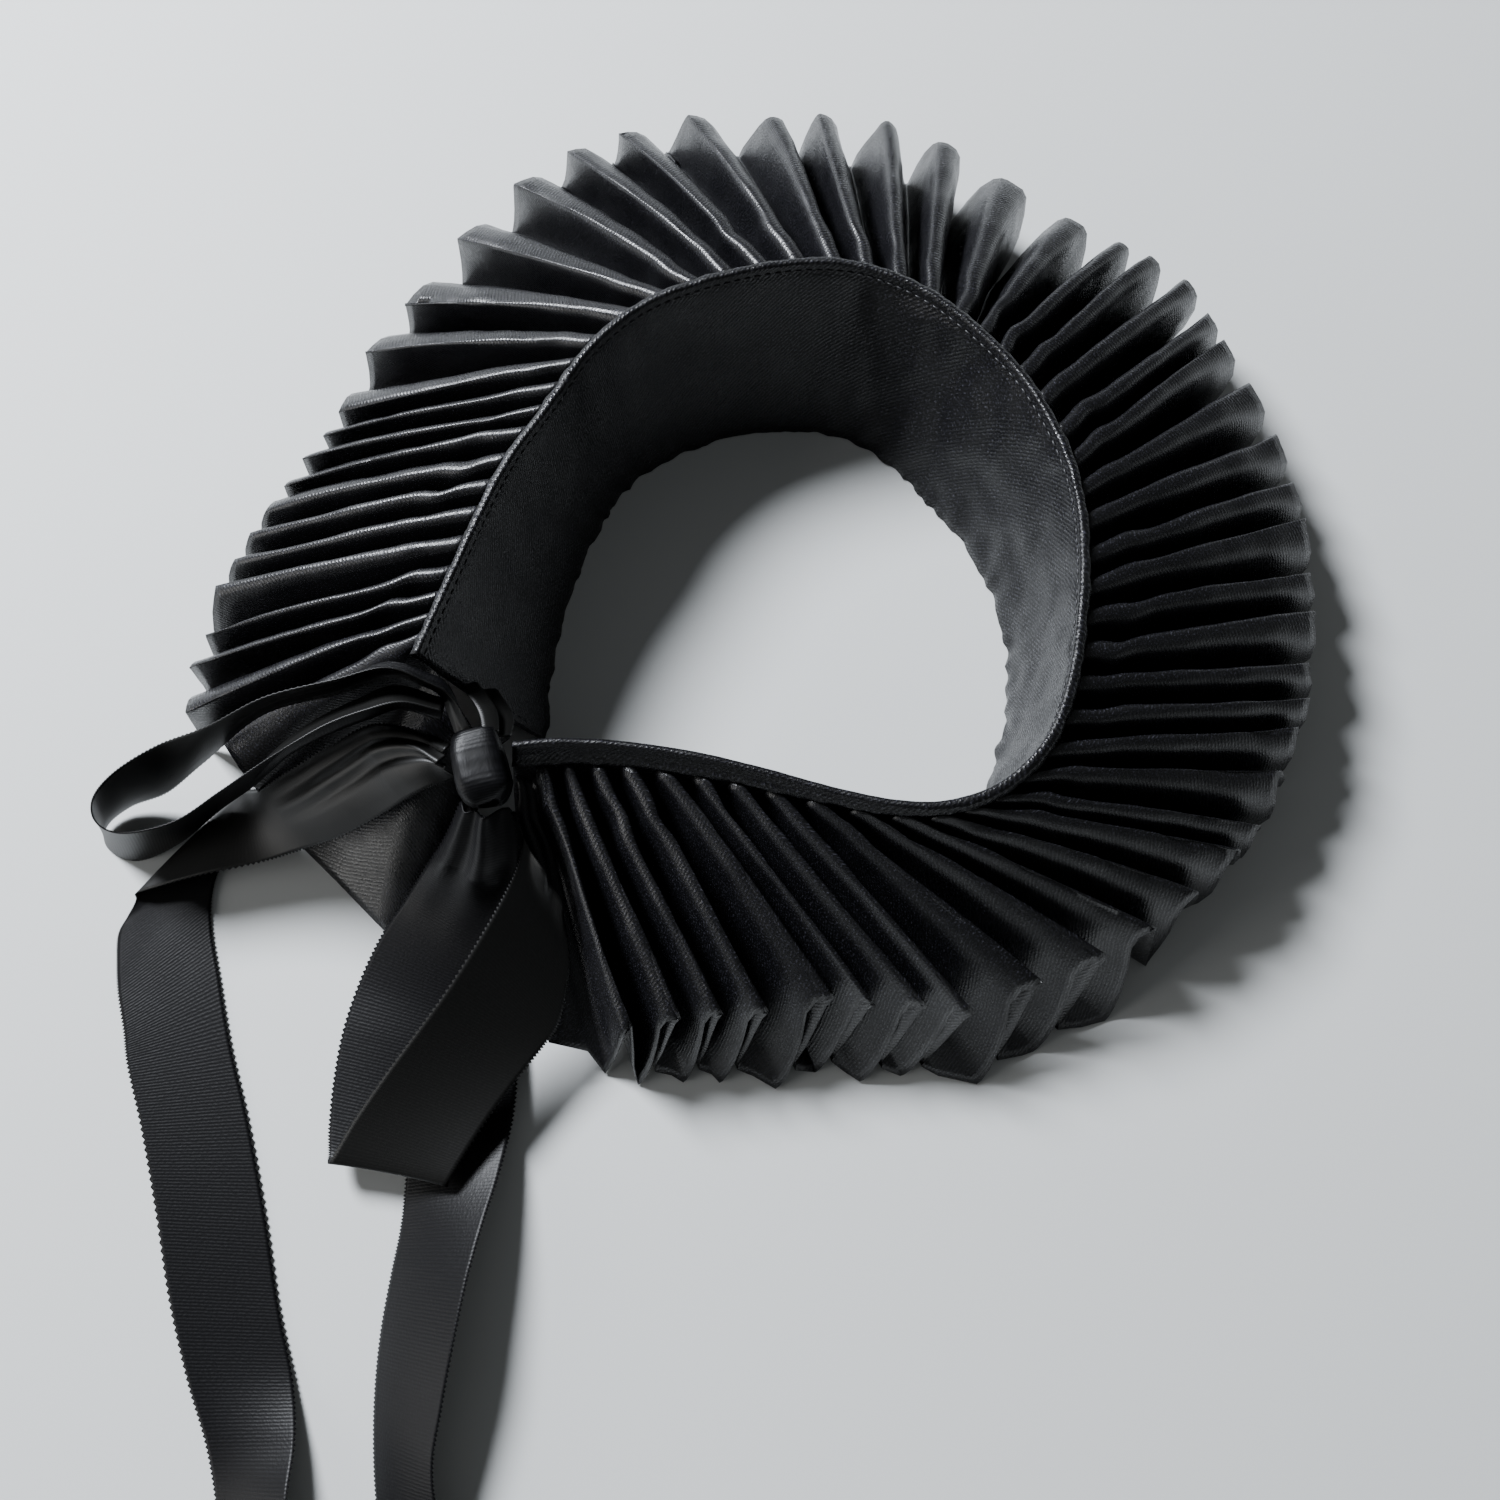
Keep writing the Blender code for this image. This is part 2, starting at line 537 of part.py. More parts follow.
def ruffle_grid(band):
    grid = []
    half = RUFFLE_WALL / 2
    root_off = BAND_WALL / 2 + GAP + half + ROOT_ROOM
    places = [row[0] for row in PLEATS]
    pitches = crest_pitches(band)
    for level in RUFFLE_LEVELS:
        row = []
        for seam, x, y, lift, height in ruffle_columns():
            deep = 1.0 - height
            out_way = band.outward(seam)
            foot, lip = band.edges(seam)
            down = (foot - lip) / BAND_HEIGHT * ROOT_DEPTH * deep
            root = band.seam(seam) + out_way * (root_off + ROOT_LEAN * deep)
            crest = root[2] + (lift + half - root[2]) * level
            crest += CREST_BULGE * 4 * level * (1 - level)
            near, far = (np.interp(seam, places, pitch) for pitch in pitches)
            depth = ROOT_DEPTH + (lift - ROOT_DEPTH) * level ** DEPTH_POWER
            steep = near * ROOT_STEEP
            depth = min(depth, steep + (far * HEM_STEEP - steep) * level)
            z = max(crest - depth * deep, half)
            spot = root + down * (1.0 - level)
            row.append((spot[0] + (x - spot[0]) * level, spot[1] + (y - spot[1]) * level, z))
        grid.append(row)
    return np.array(grid)


def ribbon_grid(rows, per_row, across):
    steps = (len(rows) - 1) * per_row
    grid = []
    for i in range(steps + 1):
        row = smooth(rows, i / per_row)
        a = row[:3]
        b = row[3:]
        grid.append([a + (b - a) * k / across for k in range(across + 1)])
    return np.array(grid)


def knot():
    """A gathered wrap of ribbon: a squarish rounded lump."""
    verts = []
    faces = []
    turn = math.radians(KNOT_TURN)
    for ring in range(1, KNOT_RINGS):
        lat = math.pi * ring / KNOT_RINGS - math.pi / 2
        for side in range(KNOT_SIDES):
            lon = 2 * math.pi * side / KNOT_SIDES
            raw = (math.cos(lat) * math.cos(lon), math.sin(lat), math.cos(lat) * math.sin(lon))
            p = [math.copysign(abs(v) ** KNOT_SQUARE, v) * h for v, h in zip(raw, KNOT_HALF)]
            x = p[0] * math.cos(turn) - p[1] * math.sin(turn)
            y = p[0] * math.sin(turn) + p[1] * math.cos(turn)
            verts.append((x, y, p[2]))
    for end in (-1, 1):
        y = end * KNOT_HALF[1]
        verts.append((-y * math.sin(turn), y * math.cos(turn), 0.0))
    for ring in range(KNOT_RINGS - 2):
        for side in range(KNOT_SIDES):
            a = ring * KNOT_SIDES + side
            b = ring * KNOT_SIDES + (side + 1) % KNOT_SIDES
            faces.append((a, b, b + KNOT_SIDES, a + KNOT_SIDES))
    south = (KNOT_RINGS - 1) * KNOT_SIDES
    top = (KNOT_RINGS - 2) * KNOT_SIDES
    for side in range(KNOT_SIDES):
        after = (side + 1) % KNOT_SIDES
        faces.append((south, after, side))
        faces.append((south + 1, top + side, top + after))
    centre = KNOT_CENTRE
    verts = [tuple((v + c) * MM for v, c in zip(p, centre)) for p in verts]
    return verts, faces


def main():
    clear_scene()
    band = Band()
    verts, faces = neck_band(band)
    add_object("neck_band", verts, faces, SATIN, 0.42)
    verts, faces = shell(ruffle_grid(band), ruffle_walls(band))
    add_object("pleated_ruffle", verts, faces, SATIN, 0.38)
    for name, rows, per_row in (
        ("bow_loop_left", LOOP_LEFT, 2),
        ("bow_loop_front", LOOP_FRONT, 2),
        ("ribbon_tail_left", TAIL_LEFT, 1),
        ("ribbon_tail_right", TAIL_RIGHT, 1),
        ("band_tie", TIE, 2),
    ):
        verts, faces = shell(ribbon_grid(rows, per_row, 2), RIBBON_WALL)
        add_object(name, verts, faces, RIBBON, 0.35)
    verts, faces = knot()
    add_object("bow_knot", verts, faces, RIBBON, 0.35)
    for item in bpy.data.objects:
        item.data.calc_loop_triangles()
        print(item.name, len(item.data.loop_triangles), "triangles")
    print("band length", round(band.length, 1))


main()
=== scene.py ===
import math
import random

import bmesh
import bpy
import numpy as np
from mathutils import Matrix, Vector, noise


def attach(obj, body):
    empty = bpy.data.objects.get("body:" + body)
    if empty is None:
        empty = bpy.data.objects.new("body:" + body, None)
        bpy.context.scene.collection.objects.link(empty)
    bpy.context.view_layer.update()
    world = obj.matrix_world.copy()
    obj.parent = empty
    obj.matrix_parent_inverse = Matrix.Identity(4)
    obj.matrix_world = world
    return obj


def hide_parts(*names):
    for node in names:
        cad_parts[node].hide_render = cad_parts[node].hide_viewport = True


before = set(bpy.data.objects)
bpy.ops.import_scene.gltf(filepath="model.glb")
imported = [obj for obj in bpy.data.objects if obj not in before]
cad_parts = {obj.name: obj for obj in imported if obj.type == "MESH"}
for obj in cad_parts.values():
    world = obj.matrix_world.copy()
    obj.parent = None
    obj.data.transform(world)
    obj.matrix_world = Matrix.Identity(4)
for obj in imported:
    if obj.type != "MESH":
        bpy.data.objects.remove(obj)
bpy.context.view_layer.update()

print("frame loaded:", len(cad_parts), "nodes")

mm = 0.001
tableX = 10.78   # where every table of sizes here counts from, on the table top, in mm
tableY = -92.68
# the camera: height in mm over that point, degrees from straight down, lens and film in mm
picture = {"height": 368.0, "tilt": 17.0, "lens": 36.1, "sensor": 36.0}


def alongTable(rows, places):
    # a smooth curve through a table's rows, read at fractional row numbers
    rows = np.asarray(rows, float)
    rows = np.vstack([2 * rows[0] - rows[1], rows, 2 * rows[-1] - rows[-2]])
    places = np.clip(np.asarray(places, float), 0, len(rows) - 3)
    i = np.minimum(places.astype(int), len(rows) - 4)
    t = (places - i)[:, None]
    a, b, c, d = (rows[i + k] for k in range(4))
    bend = (2 * a - 5 * b + 4 * c - d) * t ** 2 + (3 * b - a - 3 * c + d) * t ** 3
    return 0.5 * (2 * b + (c - a) * t + bend)


def unitRows(v):
    return v / np.maximum(np.linalg.norm(v, axis=-1, keepdims=True), 1e-9)


def gridNormals(points):
    return unitRows(np.cross(np.gradient(points, axis=0), np.gradient(points, axis=1)))


def crumple(points, size, seed):
    # soft unevenness in -1..1 at each point, with bumps about `size` mm wide
    flat = points.reshape(-1, 3) / size + seed * 17.3
    return np.array([noise.noise(Vector(p)) for p in flat]).reshape(points.shape[:2])


def waver(places, size, seed):
    # the same along a line, for an edge
    return np.array([noise.noise(Vector((p / size, seed * 7.1, 0.5))) for p in places])


def plainPiece(name, shape, materials):
    mesh = bpy.data.meshes.new(name)
    shape.to_mesh(mesh)
    shape.free()
    for material in materials:
        mesh.materials.append(material)
    piece = bpy.data.objects.new(name, mesh)
    bpy.context.scene.collection.objects.link(piece)
    return piece


def clothPiece(name, points, cut, materials, wall, backMaterial=0):
    # points[along, across] is where the cloth lies and cut is the same in the flat, all in mm
    along, across = points.shape[0] - 1, points.shape[1] - 1
    shape = bmesh.new()
    weave = shape.loops.layers.uv.new("weave")
    bmesh.ops.create_grid(shape, x_segments=along, y_segments=across, size=0.5)
    places = {}
    for vert in shape.verts:
        i, j = round((vert.co.x + 0.5) * along), round((vert.co.y + 0.5) * across)
        places[vert] = (i, j)
    for face in shape.faces:
        face.smooth = True
        for loop in face.loops:
            loop[weave].uv = cut[places[loop.vert]] * mm
    for vert, place in places.items():
        x, y, z = points[place]
        vert.co = Vector((x + tableX, y + tableY, z)) * mm
    piece = plainPiece(name, shape, materials)
    solid = piece.modifiers.new("cloth thickness", "SOLIDIFY")
    solid.thickness = wall * mm
    solid.offset = 0
    solid.material_offset = backMaterial
    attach(piece, "root")
    return piece


def linear(hexColour):
    parts = [int(hexColour[i:i + 2], 16) / 255 for i in (0, 2, 4)]
    return [p / 12.92 if p <= 0.04045 else ((p + 0.055) / 1.055) ** 2.4 for p in parts] + [1]


def addNode(material, kind, settings=(), **links):
    # settings set the node's own fields and sockets; links join a socket to another node's output
    tree = material.node_tree
    node = tree.nodes.new(kind)
    for key, value in dict(settings).items():
        if key in node.inputs:
            node.inputs[key].default_value = value
        else:
            setattr(node, key, value)
    for key, source in links.items():
        tree.links.new(source, node.inputs[key.replace("_", " ")])
    return node


def newMaterial(name, look):
    material = bpy.data.materials.new(name)
    material.use_nodes = True
    shader = material.node_tree.nodes["Principled BSDF"]
    for key, value in look.items():
        shader.inputs[key].default_value = value
    return material, shader


def threadScale(spacing):
    return 2 * math.pi / (20 * spacing * mm)   # a wave's scale for one band every `spacing` mm


def grainScale(size):
    return 1 / (size * mm)


def product(material, first, second):
    node = addNode(material, "ShaderNodeMath", {"operation": "MULTIPLY"})
    material.node_tree.links.new(first, node.inputs[0])
    material.node_tree.links.new(second, node.inputs[1])
    return node.outputs["Value"]


# a mix node has a socket of each name for every kind of value, and these are the colour ones
mixA, mixB, mixResult = 6, 7, 2


def shadeColour(material, shader, colour, factor):
    # the cloth's colour, made darker or lighter from thread to thread by the factor, which in the satins
    # also carries painted glints
    mix = addNode(material, "ShaderNodeMix", {"data_type": "RGBA", "blend_type": "MULTIPLY"})
    mix.inputs["Factor"].default_value = 1.0
    mix.inputs[mixA].default_value = linear(colour)
    material.node_tree.links.new(factor, mix.inputs[mixB])
    material.node_tree.links.new(mix.outputs[mixResult], shader.inputs["Base Color"])


def addRelief(material, shader, strength, spacing, height):
    # threads stand out by about a third of their spacing
    relief = addNode(material, "ShaderNodeBump", {
        "Strength": strength, "Distance": spacing * mm * 0.3,
    }, Height=height)
    material.node_tree.links.new(relief.outputs["Normal"], shader.inputs["Normal"])


# Each finish reads the cloth's own UV map, which is the flat cloth in metres.

def satinFinish(name, look):
    # Polyester satin, machine woven: long floats give a broad soft gleam, with fine slanting
    # twill lines and a grain of bright threads in it. At the brightest grains the colour is
    # painted several times lighter, a painted glint standing in for the sparkle of the gleam.
    material, shader = newMaterial(name, {
        "Base Color": linear(look["colour"]),
        "Roughness": look["roughness"],
        "Specular IOR Level": look["specular"],
    })
    weave = addNode(material, "ShaderNodeUVMap", {"uv_map": "weave"})
    turned = addNode(material, "ShaderNodeMapping", {
        "Rotation": (0, 0, math.radians(look["twillTurn"])),
    }, Vector=weave.outputs["UV"])
    twill = addNode(material, "ShaderNodeTexWave", {
        "Scale": threadScale(look["twill"]),
        "Distortion": 1.2,
        "Detail": 1.0,
        "Detail Scale": 2.0,
    }, Vector=turned.outputs["Vector"])
    grain = addNode(material, "ShaderNodeTexNoise", {
        "Scale": grainScale(look["grain"]),
        "Detail": 2.0,
        "Roughness": 0.6,
    }, Vector=weave.outputs["UV"])
    cloud = addNode(material, "ShaderNodeTexNoise", {
        "Scale": grainScale(look["cloud"]),
        "Detail": 2.0,
    }, Vector=weave.outputs["UV"])
    spots = addNode(material, "ShaderNodeMapRange", {
        "From Min": 0.35, "From Max": 0.75,
        "To Min": look["dark"], "To Max": look["bright"],
    }, Value=grain.outputs["Fac"])
    lines = addNode(material, "ShaderNodeMapRange", {
        "To Min": 1 - look["lineDepth"], "To Max": 1 + look["lineDepth"],
    }, Value=twill.outputs["Fac"])
    threads = product(material, spots.outputs["Result"], lines.outputs["Result"])
    # painted glints: the colour is made up to so many times lighter at the brightest grains, a painted
    # highlight
    paintedGlints = addNode(material, "ShaderNodeMapRange", {
        "From Min": 0.52, "From Max": 0.7,
        "To Min": 1.0, "To Max": look["paintedGlint"],
    }, Value=grain.outputs["Fac"])
    shadeColour(material, shader, look["colour"], product(material, threads, paintedGlints.outputs["Result"]))
    rough = addNode(material, "ShaderNodeMapRange", {
        "From Min": 0.2, "From Max": 1.1,
        "To Min": look["roughness"] + look["spread"], "To Max": look["roughness"] - look["spread"],
    }, Value=product(material, threads, cloud.outputs["Fac"]))
    material.node_tree.links.new(rough.outputs["Result"], shader.inputs["Roughness"])
    addRelief(material, shader, look["relief"], look["twill"], threads)
    return material


def ribbonFinish(name, look):
    # Woven satin ribbon: smooth on its face, with fine threads across it that break the gleam
    # into thin lines, and darker and more strongly ribbed on its back.
    material, shader = newMaterial(name, {
        "Base Color": linear(look["colour"]),
        "Roughness": look["roughness"],
        "Specular IOR Level": look["specular"],
    })
    weave = addNode(material, "ShaderNodeUVMap", {"uv_map": "weave"})
    ribs = addNode(material, "ShaderNodeTexWave", {
        "Scale": threadScale(look["rib"]),
        "Distortion": 0.4,
        "Detail": 0.0,
    }, Vector=weave.outputs["UV"])
    grain = addNode(material, "ShaderNodeTexNoise", {
        "Scale": grainScale(look["grain"]),
        "Detail": 2.0,
    }, Vector=weave.outputs["UV"])
    tone = addNode(material, "ShaderNodeMapRange", {
        "From Min": 0.3, "From Max": 0.7,
        "To Min": 1 - look["mottle"], "To Max": 1 + look["mottle"],
    }, Value=grain.outputs["Fac"])
    lines = addNode(material, "ShaderNodeMapRange", {
        "To Min": 1 - look["lineDepth"], "To Max": 1 + look["lineDepth"],
    }, Value=ribs.outputs["Fac"])
    threads = product(material, tone.outputs["Result"], lines.outputs["Result"])
    shadeColour(material, shader, look["colour"], threads)
    addRelief(material, shader, look["relief"], look["rib"], threads)
    return material


# The real twill lines and ribs are about 0.3 mm apart, too fine to show, and are drawn coarser,
# at 0.7 to 0.9 mm. Sizes are in mm; `cloud` is how wide the glossier patches are.
# In both satins the colour holds painted glints, a painted highlight at the brightest grains.
blackSatin = satinFinish("black polyester satin", {
    "colour": "08080a", "roughness": 0.32, "spread": 0.12, "specular": 0.55,
    "twill": 0.9, "twillTurn": 62, "grain": 0.6, "cloud": 9.0,
    "dark": 0.4, "bright": 2.6, "paintedGlint": 7.0, "lineDepth": 0.5, "relief": 0.15,
})
# the lining side of the same satin, softer from handling: a duller gleam in larger patches
bandSatin = satinFinish("black satin of the neck band", {
    "colour": "08080a", "roughness": 0.35, "spread": 0.16, "specular": 0.36,
    "twill": 0.9, "twillTurn": 48, "grain": 0.7, "cloud": 12.0,
    "dark": 0.4, "bright": 2.4, "paintedGlint": 7.0, "lineDepth": 0.5, "relief": 0.24,
})
ribbonFace = ribbonFinish("satin face of the ribbon", {
    "colour": "0b0b0a", "roughness": 0.44, "specular": 0.34,
    "rib": 0.7, "grain": 0.7, "mottle": 0.25, "lineDepth": 0.2, "relief": 0.09,
})
ribbonBack = ribbonFinish("ribbed back of the ribbon", {
    "colour": "09090b", "roughness": 0.42, "specular": 0.18,
    "rib": 0.8, "grain": 0.7, "mottle": 0.3, "lineDepth": 0.3, "relief": 0.16,
})
# spun thread: a little paler than the satin, so that the stitches show as a dotted line
sewingThread = newMaterial("black polyester sewing thread", {
    "Base Color": linear("2a2a2d"), "Roughness": 0.45, "Specular IOR Level": 0.5,
})[0]


# The neck band, clockwise from its left end: bottom edge and top edge in plan.
# Columns: footX, footY, lipX, lipY.
neckBand = {
    "edges": (
        (-52.5, 114.9, -75.5, 119.6),
        (-52.3, 130.0, -70.0, 135.0),
        (-49.0, 151.0, -62.1, 156.3),
        (-45.0, 164.0, -55.8, 170.3),
        (-40.5, 175.0, -47.6, 183.3),
        (-34.0, 186.0, -38.5, 198.5),
        (-24.0, 194.5, -26.5, 210.0),
        (-12.0, 200.3, -12.9, 216.5),
        (3.0, 203.8, 2.9, 221.0),
        (15.3, 204.0, 17.2, 222.6),
        (27.5, 201.0, 30.0, 220.5),
        (38.5, 193.5, 43.2, 214.0),
        (47.5, 183.0, 55.5, 203.0),
        (55.5, 173.0, 65.5, 190.5),
        (62.0, 161.5, 72.5, 176.0),
        (66.0, 149.6, 76.3, 161.7),
        (67.6, 135.0, 77.0, 146.0),
        (66.5, 123.0, 75.6, 131.0),
        (63.7, 112.0, 72.5, 114.8),
        (59.0, 99.0, 66.5, 100.0),
        (50.5, 88.0, 56.0, 89.5),
        (40.0, 81.0, 44.0, 85.0),
        (29.0, 77.5, 32.0, 85.0),
        (15.0, 76.0, 18.0, 88.0),
        (-1.0, 76.5, 3.0, 92.3),
        (-17.0, 78.5, -12.0, 96.0),
        (-34.0, 82.0, -28.0, 98.5),
        (-48.0, 86.5, -42.0, 99.2),
        (-58.0, 90.0, -52.5, 98.4),
    ),
    "tableSteps": 336,     # how finely the table's curve is read
    "height": 50.0,
    "belly": 1.2,          # how far its middle bows outward
    "half": 0.75,          # from the middle of the band to each of its two layers
    "cloth": 0.4,
    "seamDrop": 1.5,       # from the top edge down to the ruffle's seam
    "seamDropEnd": 7.0,    # the same at the front end
    "seamLowFrom": 330.0,  # from here on along the band the seam sinks
    "steps": 300,
    "closeRows": 9,        # rows of cloth 1 mm apart below the top edge, and then wider ones
    "wideFrom": 10.5,
    "wideRows": 18,
    "lowest": 0.25,        # the middle of the cloth above the table
    "pucker": 0.9,         # how far the hand-sewn foot is drawn in and out, and how wide a pucker is
    "puckerSize": 6.0,
    "puckerRest": 0.35,    # where the cloth lies between two puckers
    "puckerTall": 0.16,    # share of the height that the puckers reach, and how fast they fade
    "puckerFade": 1.4,
    "ripple": 0.45,        # the finer unevenness of the foot
    "rippleSize": 3.2,
    "groove": 0.3,         # how deep the topstitching pulls in
    "grooveWidth": 0.7,
    "ridge": 1.1,          # how far the gathered seam stands out
    "ridgeWidth": 1.0,
    "ridgeLow": 0.7,       # how far below the seam it is highest
    "lumpSize": 4.5,       # lumps of the seam and of the top edge
    "lumpSizeFine": 2.0,
    "lumpLeast": 0.75,     # height of the seam's ridge between lumps, at a lump, and the finer part
    "lumpMore": 0.9,
    "lumpFine": 0.3,
    "lumpMean": 1.2,
    "lumpyEdge": 0.5,      # unevenness of the top edge, and from what share of the height
    "lumpyFrom": 0.95,
    "creases": 1.7,        # creases of the lining, and how wide they are
    "creaseSize": 11.0,
    "creasesFine": 0.8,
    "creaseSizeFine": 5.5,
    "creasesTight": 0.25,  # share of the creases where the lining is tight, and on the outer layer
    "creasesOuter": 0.4,
    "creaseFreeTop": 0.12, # shares of the height over which they fade to the top edge and the foot
    "creaseFreeFoot": 0.08,
    "slackFrom": 150.0,    # where along the band the lining is loose, and how softly that begins and ends
    "slackTo": 345.0,
    "slackEase": 30.0,
    "slackEaseEnd": 25.0,
}
bandRows = alongTable(neckBand["edges"],
                      np.linspace(0, len(neckBand["edges"]) - 1, neckBand["tableSteps"] + 1))
bandSpans = np.linalg.norm(np.diff(bandRows[:, 2:4], axis=0), axis=1)
bandAlong = np.concatenate([[0], np.cumsum(bandSpans)])
bandLength = bandAlong[-1]


def bandEdges(s):
    # bottom and top edge, s mm along the top edge from the left end
    footX, footY, lipX, lipY = (np.interp(s, bandAlong, column) for column in bandRows.T)
    foot = np.stack([footX, footY, 0 * s], -1)
    lip = np.stack([lipX, lipY, 0 * s + neckBand["height"]], -1)
    return foot, lip


def bandOutward(s):
    foot, lip = bandEdges(s)
    reach = 3   # mm to each side that the band's direction is read from
    before, after = bandEdges(np.maximum(s - reach, 0)), bandEdges(np.minimum(s + reach, bandLength))
    way = unitRows(after[0] + after[1] - before[0] - before[1])
    return unitRows(np.cross(lip - foot, way))


def bandSeam(s):
    low = np.maximum(0, s - neckBand["seamLowFrom"]) / (bandLength - neckBand["seamLowFrom"])
    drop = neckBand["seamDrop"] + (neckBand["seamDropEnd"] - neckBand["seamDrop"]) * low
    foot, lip = bandEdges(s)
    return lip + unitRows(foot - lip) * drop[:, None]


def bandLevels():
    # Rows round the doubled cloth, close together near the top edge: height, off the middle, rise.
    half, height = neckBand["half"], neckBand["height"]
    wide = np.linspace(neckBand["wideFrom"], height, neckBand["wideRows"])
    down = np.concatenate([np.arange(0, neckBand["closeRows"]), wide]) / height
    rows = [(1 - d, -half, 0.0) for d in down[::-1]]      # inner layer, from the table up
    rows += [(1.0, -half * math.cos(t), half * math.sin(t)) for t in np.radians((45, 90, 135))]
    rows += [(1 - d, half, 0.0) for d in down]            # outer layer, back down
    return rows


def liningCreases(points, rows, s):
    # creases where the lining is loose, none at the stitched edges
    slack = np.clip((s - neckBand["slackFrom"]) / neckBand["slackEase"], 0, 1)
    slack = slack * np.clip((neckBand["slackTo"] - s) / neckBand["slackEaseEnd"], 0, 1)
    ripple = crumple(points * (1, 1, 0.4), neckBand["creaseSize"], 1) * neckBand["creases"]
    ripple = ripple + crumple(points * (1, 1, 0.6), neckBand["creaseSizeFine"], 2) * neckBand["creasesFine"]
    levels = np.array([r[0] for r in rows])
    inner = np.array([r[1] < 0 for r in rows])
    free = np.clip((1 - levels) / neckBand["creaseFreeTop"], 0, 1)
    free = free * np.clip(levels / neckBand["creaseFreeFoot"], 0, 1)
    share = neckBand["creasesTight"] + (1 - neckBand["creasesTight"]) * slack
    return ripple * (share[:, None] * (free * np.where(inner, 1.0, neckBand["creasesOuter"]))[None, :])


def makeNeckBand():
    s = np.linspace(0, bandLength, neckBand["steps"] + 1)
    foot, lip = bandEdges(s)
    out = bandOutward(s)
    tall = np.linalg.norm(lip - foot, axis=1)
    seamAt = np.linalg.norm(bandSeam(s) - lip, axis=1)
    pucker = np.abs(waver(s, neckBand["puckerSize"], 3)) * 2 - neckBand["puckerRest"]
    pucker = pucker * neckBand["pucker"]
    fine = waver(s, neckBand["rippleSize"], 5) * neckBand["ripple"]
    lumps = neckBand["lumpLeast"] + neckBand["lumpMore"] * np.abs(waver(s, neckBand["lumpSize"], 9))
    lumps = lumps + neckBand["lumpFine"] * waver(s, neckBand["lumpSizeFine"], 12)
    rows = bandLevels()
    points, cut = [], []
    flatSpot = 0.0
    for k, (level, off, rise) in enumerate(rows):
        side = 1 if off > 0 else -1
        low = max(0.0, 1 - level / neckBand["puckerTall"]) ** neckBand["puckerFade"]
        shift = off + neckBand["belly"] * math.sin(math.pi * level)
        shift = shift + low * (pucker * -side + fine)
        if off < 0:
            fromStitch = (1 - level) * neckBand["height"] - topstitch["inset"]
            shift = shift + neckBand["groove"] * math.exp(-(fromStitch / neckBand["grooveWidth"]) ** 2)
        else:
            away = (1 - level) * tall - seamAt + neckBand["ridgeLow"]
            shift = shift + neckBand["ridge"] * lumps * np.exp(-(away / neckBand["ridgeWidth"]) ** 2)
        row = foot + (lip - foot) * level + out * np.reshape(shift, (-1, 1))
        nearEdge = max(0.0, (level - neckBand["lumpyFrom"]) / (1 - neckBand["lumpyFrom"]))
        row[:, 2] += rise + neckBand["lumpyEdge"] * (lumps - neckBand["lumpMean"]) * nearEdge
        points.append(row)
        if k:
            flatSpot += np.linalg.norm(points[k] - points[k - 1], axis=1).mean()
        cut.append(np.stack([s, 0 * s + flatSpot], -1))
    points, cut = np.stack(points, 1), np.stack(cut, 1)
    points = points + out[:, None, :] * liningCreases(points, rows, s)[:, :, None]
    points[:, :, 2] = np.maximum(points[:, :, 2], neckBand["lowest"])
    piece = clothPiece("neckBand", points, cut, [bandSatin], neckBand["cloth"])
    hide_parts("neck_band")


# A row of small stitches, each one a tiny bead of thread lying along the line.
topstitch = {
    "pitch": 2.6,
    "length": 1.8,
    "thick": 0.5,
    "inset": 2.0,      # from the band's edge
    "lift": 0.15,      # how far a stitch stands off the cloth
    "endGap": 4.0,     # left free at the foot of the left end
}


def stitchLine(s, down, tall):
    # stitches on the inner face, s along the band and `down` below its top edge, of `tall` in all
    foot, lip = bandEdges(s)
    slope = unitRows(foot - lip)
    inward = -bandOutward(s)
    level = 1 - down / tall
    off = neckBand["half"] - neckBand["belly"] * np.sin(np.pi * level) + topstitch["lift"]
    return lip + slope * down[:, None] + inward * off[:, None], slope, inward


def makeTopstitch():
    inset, pitch = topstitch["inset"], topstitch["pitch"]
    s = np.arange(inset, bandLength - inset, pitch)
    spots, _, inward = stitchLine(s, np.full(len(s), inset), neckBand["height"])
    ways = unitRows(np.gradient(bandEdges(s)[1], axis=0))
    # down the left end too
    down = np.arange(inset * 2, neckBand["height"] - topstitch["endGap"], pitch)
    end = np.full(len(down), inset)
    endFoot, endLip = bandEdges(end)
    endSpots, endWays, endInward = stitchLine(end, down, np.linalg.norm(endFoot - endLip, axis=1))
    shape = bmesh.new()
    for spot, way, side in zip(np.vstack([spots, endSpots]), np.vstack([ways, endWays]),
                               np.vstack([inward, endInward])):
        made = bmesh.ops.create_uvsphere(shape, u_segments=6, v_segments=4, radius=0.5 * mm)
        across = np.cross(way, side)
        turn = Matrix((across * topstitch["thick"], side * topstitch["thick"],
                       way * topstitch["length"])).transposed().to_4x4()
        place = Vector((spot[0] + tableX, spot[1] + tableY, spot[2])) * mm
        bmesh.ops.transform(shape, matrix=Matrix.Translation(place) @ turn, verts=made["verts"])
    bmesh.ops.recalc_face_normals(shape, faces=shape.faces[:])
    for face in shape.faces:
        face.smooth = True
    piece = plainPiece("bandTopstitch", shape, [sewingThread])
    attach(piece, "root")


makeNeckBand()
makeTopstitch()
print("neck band made:", round(bandLength), "mm along its top edge")


